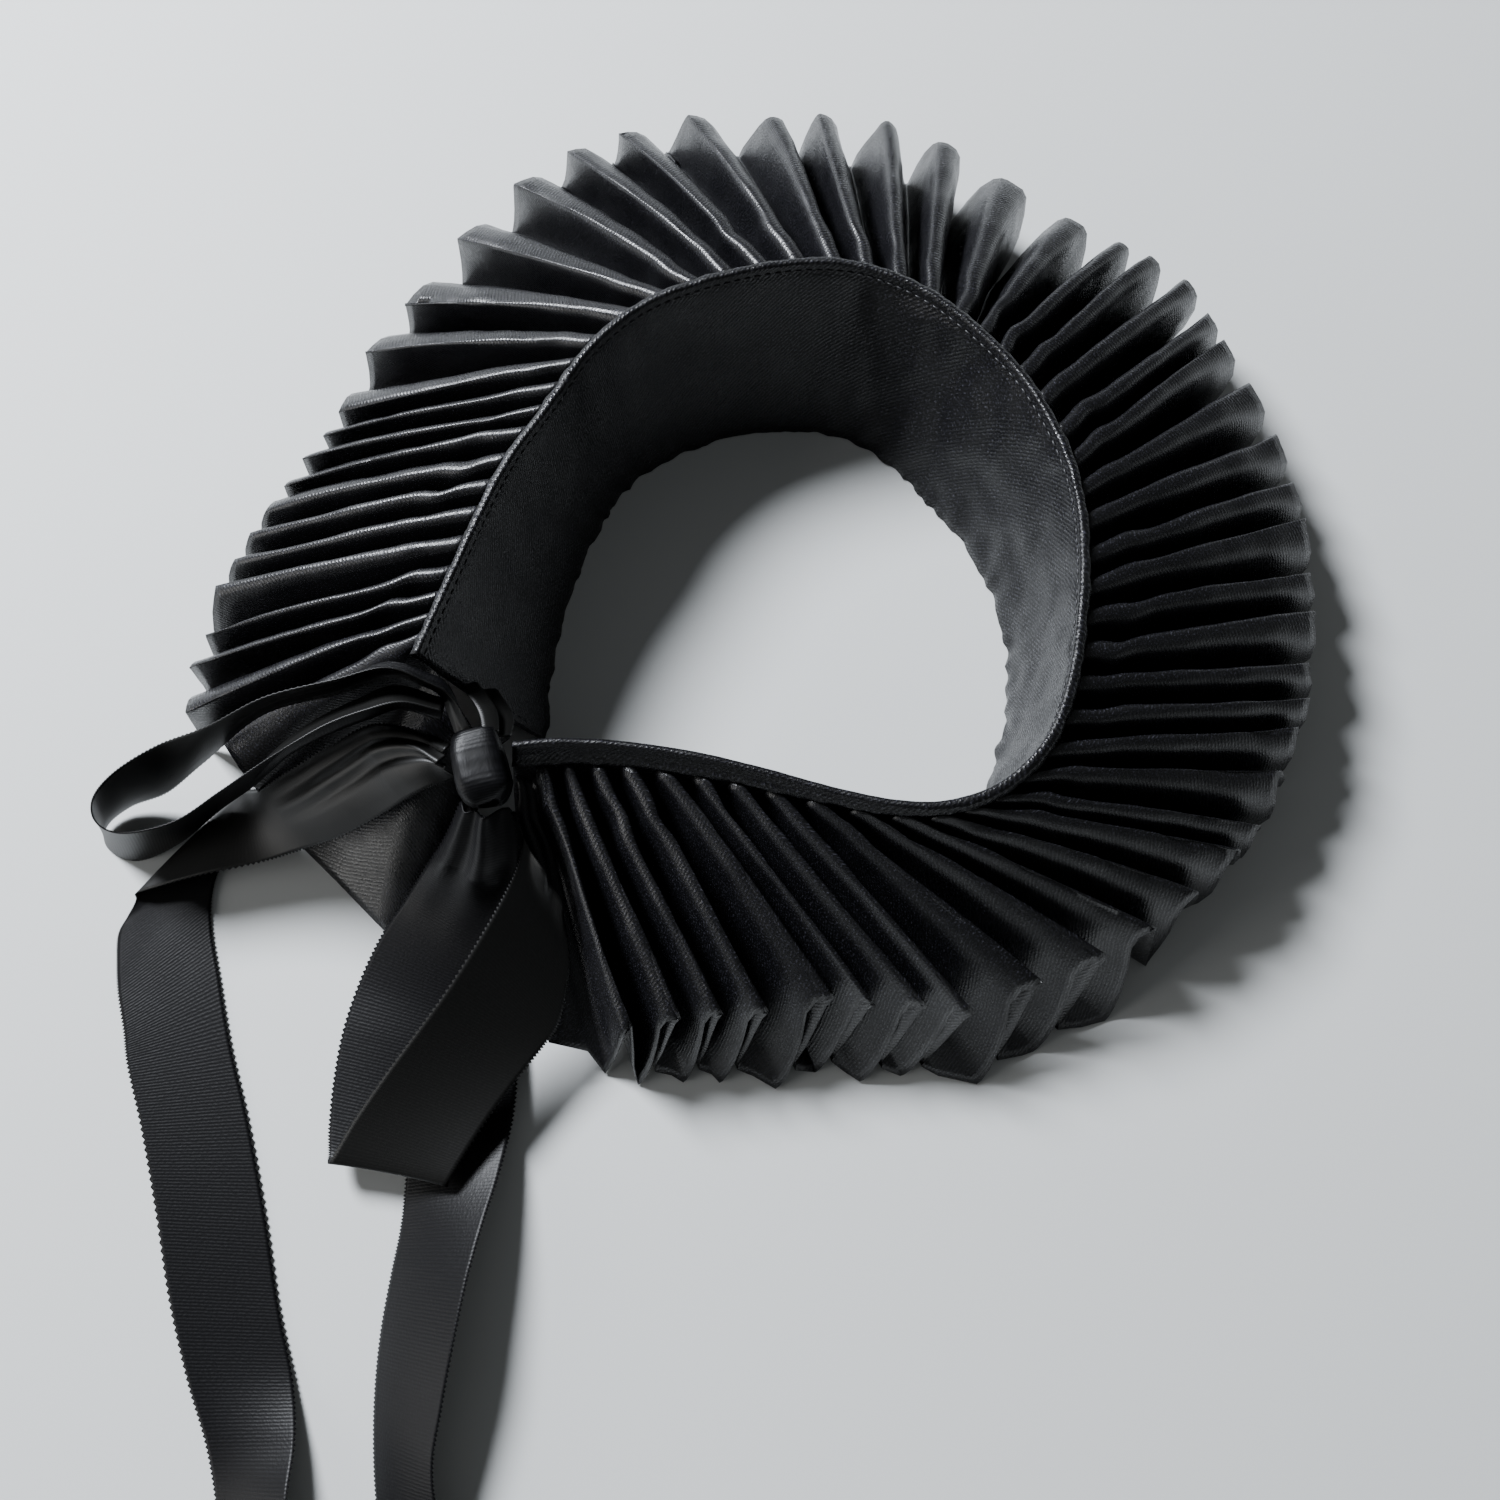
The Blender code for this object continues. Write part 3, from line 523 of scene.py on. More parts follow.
# The ruffle. One row for each pleat, clockwise from the left end: where its crest leaves the
# seam, where it ends at the hem, how high it stands there, how far the fold after it lies
# towards the next crest (1 is under it), how far that fold reaches past the crests, whether
# the crest is rounded (1) or pressed (0), and how far its side swells at the hem.
# Columns: seam, tipX, tipY, lift, fold, out, round, swell.
ruffle = {
    "pleats": (
        (6.0, -125.7, 106.4, 24.0, 1.10, 3.0, 0.0, 0.0),
        (11.0, -135.7, 114.5, 24.0, 1.15, 4.5, 0.0, 0.0),
        (16.5, -135.7, 125.5, 25.0, 0.80, 5.0, 0.3, 0.0),
        (23.0, -132.7, 133.8, 25.0, 0.15, 5.0, 0.5, 0.0),
        (31.0, -131.0, 146.3, 26.0, 0.15, 5.0, 1.0, 2.0),
        (39.0, -127.6, 154.1, 25.0, 0.15, 5.0, 1.0, 2.0),
        (46.5, -124.3, 161.1, 25.0, 0.15, 5.0, 1.0, 2.0),
        (54.0, -120.9, 168.0, 25.0, 1.00, 5.0, 1.0, 2.0),
        (62.5, -117.2, 174.1, 25.0, 1.15, 5.0, 0.0, 0.0),
        (69.5, -113.3, 181.7, 25.0, 1.15, 5.0, 0.0, 0.0),
        (76.5, -108.5, 188.2, 25.0, 1.15, 5.0, 0.0, 0.0),
        (84.0, -104.9, 194.5, 26.0, 1.05, 6.0, 0.0, 0.0),
        (91.0, -99.9, 212.9, 24.0, 1.10, 7.0, 0.6, 0.0),
        (102.0, -90.7, 227.2, 24.0, 1.00, 4.0, 0.6, 0.0),
        (111.5, -77.9, 247.5, 24.0, 0.95, 5.0, 0.6, 0.0),
        (120.0, -63.5, 264.5, 24.0, 1.00, 9.0, 0.6, 0.0),
        (128.0, -49.5, 275.1, 24.0, 1.00, 10.0, 0.6, 0.0),
        (137.0, -35.8, 281.0, 24.0, 0.75, 9.0, 0.6, 0.0),
        (145.5, -16.7, 287.2, 24.0, 0.55, 6.0, 0.6, 0.0),
        (154.5, 6.6, 286.2, 24.0, 0.55, 5.0, 0.6, 0.0),
        (162.0, 19.2, 286.5, 25.0, 0.50, 4.0, 0.6, 0.0),
        (170.0, 37.8, 283.9, 25.0, 0.40, 2.0, 0.6, 0.0),
        (179.0, 53.7, 277.4, 24.0, 0.30, -7.0, 0.9, 3.0),
        (187.0, 71.1, 265.1, 24.0, 0.40, -13.0, 0.9, 3.0),
        (194.0, 86.8, 252.2, 25.0, 0.50, -7.0, 0.9, 3.0),
        (201.0, 98.5, 244.4, 26.0, 0.55, -6.0, 0.9, 3.0),
        (208.0, 105.9, 240.4, 26.0, 0.55, -6.0, 0.9, 3.0),
        (216.5, 115.4, 233.3, 25.0, 0.35, -6.0, 1.0, 4.5),
        (226.0, 120.0, 222.1, 26.0, 0.45, -6.0, 1.0, 4.5),
        (233.5, 123.0, 215.0, 26.0, 0.50, -6.0, 1.0, 4.5),
        (241.0, 129.0, 201.7, 25.0, 0.60, -6.0, 1.0, 4.5),
        (249.0, 134.2, 187.3, 25.0, 0.65, -6.0, 1.0, 4.5),
        (257.5, 136.9, 174.4, 25.0, 0.75, -6.0, 1.0, 4.5),
        (265.5, 138.7, 165.0, 25.0, 0.80, -6.0, 1.0, 4.5),
        (273.0, 138.1, 150.0, 25.0, 0.70, -6.0, 1.0, 4.5),
        (281.0, 138.2, 139.9, 25.0, 0.75, -6.0, 1.0, 4.5),
        (289.0, 135.0, 126.3, 25.0, 0.70, -6.0, 1.0, 4.5),
        (297.5, 134.8, 117.5, 25.0, 0.80, -5.0, 0.9, 3.0),
        (306.0, 131.1, 110.2, 25.0, 0.85, -5.0, 0.9, 3.5),
        (314.0, 125.9, 99.4, 25.0, 0.80, -6.0, 1.0, 4.5),
        (321.5, 119.6, 86.0, 25.0, 0.90, -4.0, 0.8, 3.0),
        (328.0, 114.4, 80.4, 25.0, 0.95, 0.0, 0.8, 3.0),
        (335.0, 104.1, 70.4, 24.0, 1.05, 6.0, 0.5, 1.5),
        (343.0, 93.7, 62.2, 24.0, 1.20, 12.0, 0.0, 0.0),
        (352.0, 82.2, 55.5, 24.0, 1.20, 13.0, 0.0, 0.0),
        (362.0, 66.7, 49.8, 24.0, 1.15, 14.0, 0.0, 0.0),
        (371.5, 50.8, 42.5, 24.0, 1.20, 14.0, 0.0, 0.0),
        (380.0, 40.5, 44.3, 24.0, 1.15, 15.0, 0.0, 0.0),
        (388.0, 28.4, 44.5, 24.0, 1.15, 15.0, 0.0, 0.0),
        (396.5, 19.4, 46.1, 24.0, 1.10, 15.0, 0.0, 0.0),
        (404.5, 4.3, 42.7, 24.0, 1.15, 13.0, 0.0, 0.0),
        (411.5, -6.1, 42.3, 24.0, 1.15, 12.0, 0.0, 0.0),
        (418.5, -15.6, 41.4, 24.0, 1.15, 11.0, 0.0, 0.0),
        (424.0, -26.7, 39.8, 24.0, 1.10, 9.0, 0.0, 0.0),
    ),
    # the flat end panels: place on the seam, hem in plan and height left at the hem
    "startRoot": (-62.0, 98.5, 40.0),   # the strip's free end is caught under the knot
    "startPanel": (
        (0.0, -84.0, 60.5, 0.02),
        (0.5, -92.0, 68.0, 0.02),
        (1.8, -102.0, 77.5, 0.02),
        (3.1, -112.0, 87.0, 0.0),
        (4.2, -115.5, 91.5, 0.25),
        (4.7, -122.5, 101.5, 0.87),
    ),
    "finishPanel": (
        (425.0, -28.8, 37.6, 0.87),
        (425.6, -32.0, 33.9, 0.25),
        (427.0, -34.6, 31.4, 0.0),
        (428.5, -38.5, 36.0, 0.22),
        (430.0, -47.5, 37.8, 0.33),
    ),
    # Across a pleat, down to its fold and back up: place between two crests at the seam,
    # height left, share of the way and of the reach, then the same two for a rounded pleat.
    # Columns: place, height, way, reach, roundWay, roundReach.
    "away": (
        (0.0, 1.0, 0.0, 0.0, 0.0, 0.0),
        (0.13, 0.97, 0.16, 0.0, 0.25, 0.0),
        (0.23, 0.88, 0.36, 0.03, 0.48, 0.0),
        (0.262, 0.56, 0.52, 0.40, 0.66, 0.12),
        (0.30, 0.24, 0.72, 0.76, 0.83, 0.36),
        (0.39, 0.05, 0.90, 0.95, 0.94, 0.75),
        (0.5, 0.0, 1.0, 1.0, 1.0, 1.0),
    ),
    "back": (
        (0.5, 0.0, 0.0, 1.0, 0.0, 1.0),
        (0.61, 0.05, 0.02, 0.95, 0.08, 0.8),
        (0.70, 0.25, 0.07, 0.75, 0.18, 0.5),
        (0.74, 0.56, 0.42, 0.44, 0.36, 0.22),
        (0.77, 0.88, 0.84, 0.12, 0.62, 0.05),
        (0.87, 0.985, 0.95, 0.02, 0.82, 0.0),
        (1.0, 1.0, 1.0, 0.0, 1.0, 0.0),
    ),
    # At the front each fold is tucked under the pleat after it before the cloth turns up.
    # Columns: place, height, share of the chord after the crest, reach.
    "tuckFrom": 43,
    "tuck": (
        (0.56, 0.02, 0.45, 0.88),
        (0.62, 0.06, 0.80, 0.76),
        (0.67, 0.24, 0.62, 0.62),
        (0.72, 0.56, 0.40, 0.38),
        (0.77, 0.88, 0.18, 0.11),
        (0.87, 0.985, 0.05, 0.02),
        (1.0, 1.0, 0.0, 0.0),
    ),
    "flat": (0.07, 2.8),   # width of the strip and how much of its length shows, in metres
    "cloth": 0.35,
    "levels": 30,          # rows of cloth from the seam to the hem
    "perHalf": 8,          # columns from a crest down to its fold
    "rootDepth": 8.0,      # depth of the folds at the seam
    "rootLean": 0.2,
    "rootOff": 1.9,        # from the band to the pleats at the seam
    "depthPower": 0.6,     # how soon the folds grow deep towards the hem
    "rootSteep": 3.2,      # deepest fold, in pitches of the pleats, at the seam and at the hem
    "hemSteep": 4.2,
    "bulge": 2.0,          # how far the crests arch up between seam and hem
    "low": 0.5,
    "wander": 0.9,         # how far a crest strays sideways, in one bend and in two
    "twist": 0.5,
    "jog": 1.5,            # a short sideways kink near the seam, and where it may lie
    "jogWidth": 0.06,
    "jogPlace": (0.10, 0.22),
    "creases": 0.45,       # unevenness of the cloth, and how wide it is
    "creaseSize": 13.0,
    "creasesFine": 0.16,
    "creaseSizeFine": 5.0,
    "creaseFree": 0.125,   # share of the way to the hem over which the creases begin
    "lengthRow": 5,        # rows above the hem where the strip's length is read
    "seed": 11,
}


def pleatSide(i):
    # from one crest's tip to the next, and the way out from that line
    chord = np.array(ruffle["pleats"][i + 1][1:3]) - np.array(ruffle["pleats"][i][1:3])
    return chord, np.array((-chord[1], chord[0])) / np.linalg.norm(chord)


def tuckedBack(i, fold, steps):
    # the way from a front fold, in under the next pleat and up to its crest
    rows = ruffle["pleats"]
    chord, side = pleatSide(i + 1)
    tip, reach = np.array(rows[i + 1][1:3]), rows[i + 1][5]
    path = [(0.5, 0.0, *fold)]
    for part, height, share, far in ruffle["tuck"]:
        path.append((part, height, *(tip + chord * share + side * reach * far)))
    return alongTable(path, np.linspace(0, len(path) - 1, steps + 1)[:-1])


def ruffleColumns():
    # Columns of cloth, all along the strip: seam, hemX, hemY, lift, height, number of the pleat.
    rows = ruffle["pleats"]
    steps = ruffle["perHalf"]
    places = np.linspace(0, len(ruffle["away"]) - 1, steps + 1)[:-1]
    columns = [(s, x, y, rows[0][3], h, -1.0) for s, x, y, h in ruffle["startPanel"]]
    for i in range(len(rows) - 1):
        seam, x, y, lift, fold, out = rows[i][:6]
        after = rows[i + 1]
        chord, side = pleatSide(i)
        for half, table in enumerate((ruffle["away"], ruffle["back"])):
            rounded, swell = rows[i + half][6:8]
            if half and ruffle["tuckFrom"] <= i < len(rows) - 2:
                bottom = np.array((x, y)) + chord * fold + side * out
                path = tuckedBack(i, bottom, steps)
            else:
                path = []
                for part, height, way, reach, roundWay, roundReach in alongTable(table, places):
                    height = min(max(height, 0.0), 1.0)
                    way = way + (roundWay - way) * rounded
                    reach = reach + (roundReach - reach) * rounded
                    share = fold + (1 - fold) * way if half else fold * way
                    proud = out * reach + swell * 4 * height * (1 - height)
                    path.append((part, height, *(np.array((x, y)) + chord * share + side * proud)))
            for part, height, hemX, hemY in path:
                columns.append((seam + (after[0] - seam) * part, hemX, hemY,
                                lift + (after[3] - lift) * part, min(max(height, 0.0), 1.0), i + part))
    last = rows[-1]
    columns.append((last[0], last[1], last[2], last[3], 1.0, len(rows) - 1))
    columns += [(s, x, y, last[3], h, float(len(rows))) for s, x, y, h in ruffle["finishPanel"]]
    return np.array(columns)


def crestPitches():
    # how far each crest is from the nearer of its neighbours, at the seam and at the hem
    rows = np.array(ruffle["pleats"])
    roots, tips = bandSeam(rows[:, 0])[:, :2], rows[:, 1:3]
    way = unitRows(tips - roots)
    found = []
    for ends in (roots, tips):
        gap = np.diff(ends, axis=0)
        before = np.abs(gap[:, 0] * way[1:, 1] - gap[:, 1] * way[1:, 0])
        after = np.abs(gap[:, 0] * way[:-1, 1] - gap[:, 1] * way[:-1, 0])
        found.append(np.minimum(np.append(after, 1e9), np.insert(before, 0, 1e9)))
    return found


def strayCrests(number):
    # each pleat's own sideways strays, in -1..1, and the place of its kink
    count = len(ruffle["pleats"]) + 2
    dice = random.Random(ruffle["seed"])
    wander, twist, jog = ([dice.uniform(-1, 1) for _ in range(count)] for _ in range(3))
    jogAt = [dice.uniform(*ruffle["jogPlace"]) for _ in range(count)]
    crest = np.arange(-1, count - 1)
    return [np.interp(number, crest, r) for r in (wander, twist, jog, jogAt)]


def makeRuffle():
    columns = ruffleColumns()
    seam, hemX, hemY, lift, height, number = columns.T
    deep = 1 - height
    crestSeams = np.array(ruffle["pleats"])[:, 0]
    near, far = (np.interp(seam, crestSeams, pitch) for pitch in crestPitches())
    out = bandOutward(seam)
    foot, lip = bandEdges(seam)
    drop = (foot - lip) / neckBand["height"] * ruffle["rootDepth"] * deep[:, None]
    root = bandSeam(seam) + out * (ruffle["rootOff"] + ruffle["rootLean"] * deep)[:, None]
    root[0] = ruffle["startRoot"]
    wander, twist, jog, jogAt = strayCrests(number)
    sideways = unitRows(np.stack([out[:, 1], -out[:, 0]], -1))
    levels = np.linspace(0, 1, ruffle["levels"] + 1)
    steep = near * ruffle["rootSteep"]
    points = []
    for level in levels:
        top = root[:, 2] + (lift + ruffle["low"] - root[:, 2]) * level
        top = top + ruffle["bulge"] * 4 * level * (1 - level)
        depth = ruffle["rootDepth"] + (lift - ruffle["rootDepth"]) * level ** ruffle["depthPower"]
        depth = np.minimum(depth, steep + (far * ruffle["hemSteep"] - steep) * level)
        z = np.maximum(top - depth * deep, ruffle["low"])
        spot = root + drop * (1 - level)
        x = spot[:, 0] + (hemX - spot[:, 0]) * level
        y = spot[:, 1] + (hemY - spot[:, 1]) * level
        shift = ruffle["wander"] * wander * math.sin(math.pi * level)
        shift = shift + ruffle["twist"] * twist * math.sin(2 * math.pi * level)
        kink = np.exp(-((level - jogAt) / ruffle["jogWidth"]) ** 2) * min(1, level * 20)
        shift = shift + ruffle["jog"] * jog * kink
        points.append(np.stack([x + sideways[:, 0] * shift, y + sideways[:, 1] * shift, z], -1))
    points = np.stack(points, 1)
    run = np.linalg.norm(np.diff(points, axis=1), axis=2)
    down = np.concatenate([np.zeros((len(columns), 1)), np.cumsum(run, axis=1)], axis=1)
    nearHem = ruffle["levels"] - ruffle["lengthRow"]
    strip = np.concatenate([[0], np.cumsum(np.linalg.norm(np.diff(points[:, nearHem], axis=0), axis=1))])
    cut = np.stack([np.broadcast_to(strip[:, None], down.shape), down], -1)
    uneven = crumple(points, ruffle["creaseSize"], 4) * ruffle["creases"]
    uneven = uneven + crumple(points, ruffle["creaseSizeFine"], 6) * ruffle["creasesFine"]
    uneven *= np.minimum(1, levels / ruffle["creaseFree"])[None, :]
    points = points + gridNormals(points) * uneven[:, :, None]
    points[:, :, 2] = np.maximum(points[:, :, 2], ruffle["low"] * 0.6)
    piece = clothPiece("pleatedRuffle", points, cut, [blackSatin], ruffle["cloth"])
    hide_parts("pleated_ruffle")
    print("ruffle made:", round(strip[-1]), "mm of strip near the hem")


makeRuffle()


# Ribbons. One row for each station, with the two selvedges as points. The left tail is folded
# over slantwise where it meets the table, so its selvedges turn there one after the other.
# Columns: aX, aY, aZ, bX, bY, bZ.
ribbons = {
    "loopLeft": (
        (-61.6, 101.4, 51.8, -63.0, 102.2, 46.6),
        (-65.0, 106.8, 58.0, -68.0, 110.4, 43.0),
        (-70.0, 109.5, 60.0, -73.0, 114.0, 43.0),
        (-79.0, 112.5, 61.0, -82.0, 117.0, 42.0),
        (-91.0, 111.0, 57.5, -94.5, 113.5, 41.0),
        (-108.0, 109.0, 51.5, -113.0, 110.0, 36.5),
        (-123.5, 105.0, 42.5, -131.5, 103.0, 21.0),
        (-139.0, 104.0, 31.0, -145.0, 99.5, 7.0),
        (-149.5, 98.5, 28.0, -155.5, 97.0, 2.6),
        (-154.5, 92.5, 26.5, -161.5, 92.0, 1.4),
        (-153.5, 87.0, 25.5, -160.5, 86.5, 0.8),
        (-147.0, 84.5, 25.0, -153.0, 83.5, 0.8),
        (-135.0, 87.0, 26.0, -142.0, 87.5, 3.0),
        (-123.0, 92.5, 32.0, -130.5, 94.5, 9.0),
        (-113.0, 96.0, 39.5, -119.5, 97.5, 19.5),
        (-102.0, 99.5, 47.5, -107.5, 101.5, 32.0),
        (-93.0, 102.5, 52.5, -97.0, 105.0, 37.5),
        (-84.0, 104.5, 56.0, -87.5, 107.5, 41.0),
        (-76.0, 106.0, 57.0, -79.5, 109.5, 42.5),
        (-67.5, 104.0, 57.5, -70.5, 107.5, 41.0),
    ),
    "loopFront": (
        (-64.2, 87.2, 43.6, -53.6, 85.6, 44.2),
        (-69.5, 81.5, 33.0, -52.5, 75.0, 35.0),
        (-76.0, 76.5, 22.5, -56.0, 67.0, 25.0),
        (-82.0, 70.5, 14.5, -61.0, 60.0, 17.0),
        (-88.0, 63.0, 10.0, -65.0, 53.0, 12.0),
        (-93.0, 53.0, 7.0, -68.5, 45.0, 9.0),
        (-96.5, 41.0, 6.0, -71.5, 35.0, 7.5),
        (-98.0, 29.0, 5.5, -72.5, 23.0, 6.5),
        (-98.2, 18.0, 5.5, -71.8, 12.5, 6.5),
        (-97.6, 12.0, 6.0, -70.8, 6.8, 6.8),
        (-97.0, 10.3, 7.6, -70.0, 5.2, 8.4),
        (-96.0, 11.4, 9.2, -69.3, 6.4, 9.9),
        (-91.0, 19.5, 12.0, -66.5, 11.0, 10.8),
        (-84.0, 29.0, 15.5, -60.5, 20.5, 11.6),
        (-76.5, 38.5, 19.0, -54.0, 29.5, 12.2),
        (-69.0, 48.0, 23.0, -48.5, 36.5, 12.6),
        (-62.0, 58.0, 27.5, -45.0, 41.5, 13.5),
        (-56.5, 66.5, 31.5, -43.0, 49.0, 16.0),
        (-52.5, 73.5, 35.5, -42.0, 57.0, 20.0),
        (-50.5, 79.5, 39.5, -43.5, 67.0, 26.0),
    ),
    "tailLeft": (
        (-66.3, 98.6, 49.0, -65.2, 92.5, 45.5),
        (-75.5, 104.0, 42.0, -71.5, 90.5, 44.5),
        (-87.0, 107.0, 37.0, -78.0, 89.0, 39.3),
        (-98.0, 104.0, 31.0, -86.0, 87.0, 31.5),
        (-109.0, 100.0, 24.0, -97.5, 84.5, 22.0),
        (-118.0, 97.5, 16.7, -108.0, 83.5, 14.3),
        (-123.5, 98.5, 10.5, -119.0, 81.5, 9.5),
        (-126.4, 98.9, 8.0, -135.0, 78.5, 7.0),
        (-127.6, 98.3, 6.8, -147.6, 75.5, 4.8),
        (-128.4, 98.3, 5.4, -150.9, 74.8, 3.4),
        (-128.2, 97.2, 4.2, -151.4, 73.6, 1.7),
        (-129.0, 91.0, 2.8, -153.4, 69.5, 0.8),
        (-131.0, 84.5, 1.5, -155.2, 64.9, 0.7),
        (-133.4, 77.0, 0.9, -154.8, 58.5, 0.7),
        (-133.2, 67.2, 0.7, -153.6, 51.0, 0.7),
        (-129.8, 53.9, 0.8, -151.0, 41.5, 0.8),
        (-125.5, 38.0, 0.8, -149.0, 33.0, 0.8),
        (-119.5, 20.0, 0.8, -144.0, 18.5, 0.8),
        (-113.5, -1.0, 0.8, -138.5, 0.0, 0.8),
        (-108.5, -21.0, 0.8, -133.0, -20.0, 0.8),
        (-103.5, -37.0, 1.6, -127.0, -37.0, 0.8),
        (-101.0, -49.0, 5.0, -121.5, -50.0, 0.8),
        (-100.5, -61.5, 9.5, -118.0, -62.0, 0.8),
        (-97.5, -74.0, 10.5, -115.5, -75.0, 0.8),
        (-92.0, -86.5, 7.0, -113.0, -88.0, 0.8),
        (-86.5, -96.5, 2.0, -111.0, -99.0, 0.8),
        (-84.5, -104.5, 0.8, -110.0, -109.0, 0.8),
    ),
    "tailRight": (
        (-63.5, 88.5, 36.5, -53.5, 86.5, 37.0),
        (-68.0, 84.0, 25.0, -52.0, 80.0, 26.0),
        (-72.0, 77.0, 14.0, -53.0, 70.5, 15.0),
        (-76.5, 65.0, 4.5, -54.5, 57.0, 6.0),
        (-79.0, 50.0, 1.2, -55.5, 45.5, 2.5),
        (-80.0, 36.0, 0.8, -55.5, 34.0, 3.5),
        (-80.5, 20.0, 0.8, -56.0, 21.0, 4.4),
        (-80.5, 6.0, 0.8, -58.0, 8.0, 8.5),
        (-81.0, -4.0, 0.8, -60.5, -3.0, 12.5),
        (-82.5, -14.0, 0.8, -63.0, -15.0, 15.0),
        (-84.0, -26.0, 0.8, -65.0, -28.0, 16.0),
        (-84.5, -38.0, 0.8, -67.0, -41.0, 15.0),
        (-84.0, -50.0, 0.8, -68.5, -53.0, 13.5),
        (-82.5, -62.0, 0.8, -66.5, -64.0, 12.0),
        (-79.5, -75.0, 0.8, -61.0, -75.5, 9.0),
        (-76.0, -88.0, 0.8, -52.5, -87.0, 4.0),
        (-73.5, -99.0, 0.8, -48.0, -97.0, 0.8),
        (-72.0, -108.5, 0.8, -46.5, -103.5, 0.8),
    ),
    "tie": (
        (-67.8, 117.7, 34.0, -61.6, 116.3, 20.0),
        (-62.5, 110.0, 39.5, -58.5, 109.0, 26.0),
        (-59.6, 101.9, 46.8, -57.6, 100.8, 38.4),
    ),
}
ribbon = {
    "width": 25.4,
    "cloth": 0.3,
    "step": 0.5,           # one edge loop of the picot to every two steps
    "picot": 0.6,
    "selvedge": 0.03,      # share of the width that the picot's loops stand on
    "across": 16,
    "deepest": 2.7,        # of the waves in the gathered cloth
    "highest": 3.8,        # of its arch
    "gatherReach": 42.0,   # how far from the knot the gathers fade
    "slackFrom": 5.0,      # spare width that they begin with
    "waveShare": 0.375,    # of the spare width, in the waves and in the arch
    "archShare": 0.2,
    "archTurn": 3.0,       # how fast the arch turns over where the cloth stands on edge
    "lowest": 0.3,
}

# The knot: a short wrap of ribbon round the crossing ends, gathered into lengthwise folds.
knot = {
    "centre": (-59.5, 93.5, 48.5),
    "half": (6.0, 8.8, 5.6),
    "turn": 15.0,
    "square": 0.5,             # 1 would be an egg, and less is squarer
    "ends": (0.04, 0.96),      # the wrap is open at both ends of its length
    "fold": 0.07,
    "folds": 2.5,              # lengthwise folds, how far they slant, and where they begin
    "foldSlant": 0.5,
    "foldStart": 0.7,
    "girth": 36.0,             # of the wrap laid flat, so that its ribs run across it
    "tall": 18.0,
    "flat": (0.0254, 0.030),   # the stretch of ribbon that shows round it, in metres
    "around": 72,
    "along": 28,
}


def gatheredRise(a, b, share, upward, crown, folded):
    # how far the cloth stands off a flat ribbon: near the knot the spare width rises in an arch
    # and two low waves across it, each as high as its share of the spare width allows
    chord = np.linalg.norm(b - a, axis=1)
    spare = np.clip(ribbon["width"] - chord, 0, ribbon["width"])
    fromKnot = np.linalg.norm((a + b) / 2 - np.array(knot["centre"]), axis=1)
    drawn = np.clip(1.5 - fromKnot / ribbon["gatherReach"], 0, 1)
    drawn = drawn * np.clip(spare / ribbon["slackFrom"], 0, 1) ** 1.5
    area = spare * chord
    wave = np.minimum(np.sqrt(area * ribbon["waveShare"]) / 2, ribbon["deepest"]) / 2 * drawn
    arch = np.minimum(np.sqrt(area * ribbon["archShare"]), ribbon["highest"]) * drawn
    bow = (crown + (arch * upward)[:, None]) * (4 * share * (1 - share))[None, :]
    inFold = np.clip((share - folded[0]) / (folded[1] - folded[0]), 0, 1)
    return bow + wave[:, None] * np.sin(4 * math.pi * inFold)[None, :]


def makeRibbon(name, node, rows, faces=(ribbonFace, ribbonBack), crown=0.5, folded=(0.0, 1.0)):
    # crown: how far the flat ribbon bows; folded: between which shares of the width it waves
    table = np.array(rows)
    line = np.linalg.norm(np.diff((table[:, :3] + table[:, 3:]) / 2, axis=0), axis=1).sum()
    steps = int(line / ribbon["step"])
    stations = alongTable(rows, np.linspace(0, len(rows) - 1, steps + 1))
    a, b = stations[:, :3], stations[:, 3:]
    share = np.linspace(0, 1, ribbon["across"] + 1)
    share[1], share[-2] = ribbon["selvedge"], 1 - ribbon["selvedge"]
    points = a[:, None, :] + (b - a)[:, None, :] * share[None, :, None]
    side = unitRows(b - a)
    tooth = (np.arange(steps + 1) % 2) * ribbon["picot"]
    points[:, 0] -= side * tooth[:, None]
    points[:, -1] += side * tooth[:, None]
    normals = gridNormals(points)
    upward = np.clip(normals[:, ribbon["across"] // 2, 2] * ribbon["archTurn"], -1, 1)
    points = points + normals * gatheredRise(a, b, share, upward, crown, folded)[:, :, None]
    points[:, :, 2] = np.maximum(points[:, :, 2], ribbon["lowest"])
    along = np.concatenate([[0], np.cumsum(np.linalg.norm(np.diff((a + b) / 2, axis=0), axis=1))])
    flat = np.stack(np.meshgrid(along, share * ribbon["width"], indexing="ij"), -1)
    piece = clothPiece(name, points, flat, faces, ribbon["cloth"], 1)
    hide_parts(node)
    print(name, round(along[-1]), "mm long")


backUp = (ribbonBack, ribbonFace)   # for a ribbon that starts with its ribbed back upward
makeRibbon("bowLoopLeft", "bow_loop_left", ribbons["loopLeft"],
           folded=(0.3, 1.0))
makeRibbon("bowLoopFront", "bow_loop_front", ribbons["loopFront"], backUp)
makeRibbon("ribbonTailLeft", "ribbon_tail_left", ribbons["tailLeft"],
           folded=(0.0, 0.6))
makeRibbon("ribbonTailRight", "ribbon_tail_right", ribbons["tailRight"], backUp)
makeRibbon("bandTie", "band_tie", ribbons["tie"], crown=1.4)


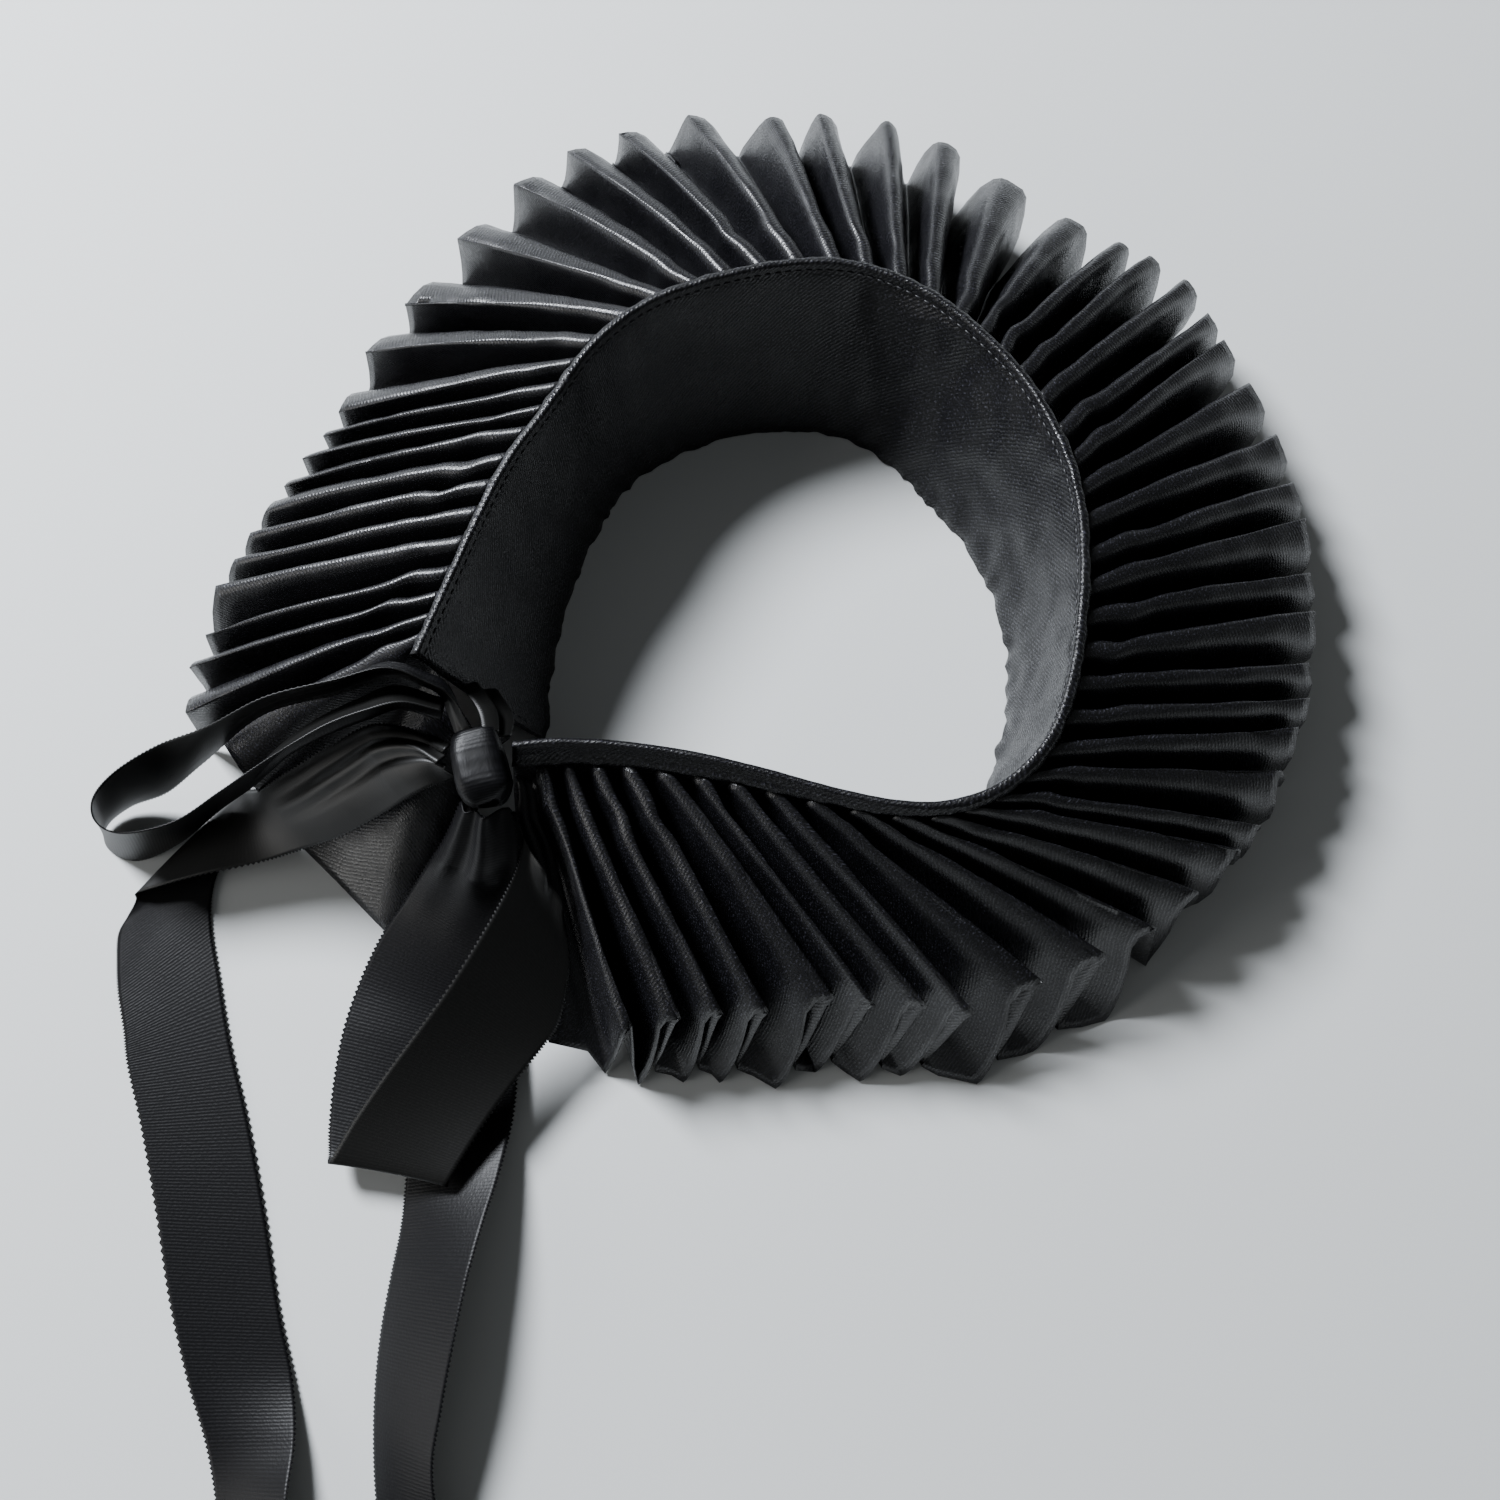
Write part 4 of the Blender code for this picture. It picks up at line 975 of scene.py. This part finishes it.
def makeKnot():
    around = np.linspace(0, 2 * math.pi, knot["around"] + 1)
    along = (np.linspace(*knot["ends"], knot["along"] + 1) - 0.5) * math.pi
    lon, lat = np.meshgrid(around, along, indexing="ij")
    raw = np.stack([np.cos(lat) * np.cos(lon), np.sin(lat), np.cos(lat) * np.sin(lon)], -1)
    spot = np.sign(raw) * np.abs(raw) ** knot["square"] * np.array(knot["half"])
    slant = knot["foldSlant"] * np.sin(lon * 2)
    folds = 1 - knot["fold"] * np.abs(np.sin(knot["folds"] * lat + slant + knot["foldStart"]))
    spot = spot * folds[:, :, None]
    turn = math.radians(knot["turn"])
    x = spot[:, :, 0] * math.cos(turn) - spot[:, :, 1] * math.sin(turn)
    y = spot[:, :, 0] * math.sin(turn) + spot[:, :, 1] * math.cos(turn)
    points = np.stack([x, y, spot[:, :, 2]], -1) + np.array(knot["centre"])
    spread = np.linspace(0, knot["girth"], knot["around"] + 1)
    length = np.linspace(0, knot["tall"], knot["along"] + 1)
    cut = np.stack(np.meshgrid(spread, length, indexing="ij")[::-1], -1)
    piece = clothPiece("bowKnot", points, cut, [ribbonBack], ribbon["cloth"])
    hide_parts("bow_knot")


makeKnot()
print("ribbons and knot made")


# Floor, light and camera.
def makeTableTop():
    # painted board: matt, with only a faint broad gleam
    matt = newMaterial("pale matt table top", {
        "Base Color": linear("d6d8d7"), "Roughness": 0.6, "Specular IOR Level": 0.2,
    })[0]
    shape = bmesh.new()
    bmesh.ops.create_grid(shape, x_segments=1, y_segments=1, size=3.0)
    plainPiece("tableTop", shape, [matt])


def addLight(name, spot, aim, size, power, colour):
    lamp = bpy.data.lights.new(name, "AREA")
    lamp.shape = "DISK"
    lamp.size = size
    lamp.energy = power
    lamp.color = linear(colour)[:3]
    item = bpy.data.objects.new(name, lamp)
    item.location = spot
    item.rotation_euler = (Vector(aim) - Vector(spot)).to_track_quat("-Z", "Y").to_euler()
    bpy.context.scene.collection.objects.link(item)


makeTableTop()
addLight("windowLight", (-0.75, 0.75, 0.95), (0, 0, 0), 0.45, 58.0, "f4f8ff")
addLight("roomLight", (-1.2, -0.35, 0.42), (0, 0, 0.02), 0.8, 5.5, "fbfaf8")
world = bpy.data.worlds.new("studio")
world.use_nodes = True
background = world.node_tree.nodes["Background"]
background.inputs["Color"].default_value = linear("d8dcde")
background.inputs["Strength"].default_value = 0.14
bpy.context.scene.world = world

lens = bpy.data.cameras.new("camera")
lens.sensor_width = picture["sensor"]
lens.lens = picture["lens"]
lens.clip_start = 0.01
camera = bpy.data.objects.new("camera", lens)
camera.location = (tableX * mm, tableY * mm, picture["height"] * mm)
camera.rotation_euler = (math.radians(picture["tilt"]), 0, 0)
bpy.context.scene.collection.objects.link(camera)
bpy.context.scene.camera = camera
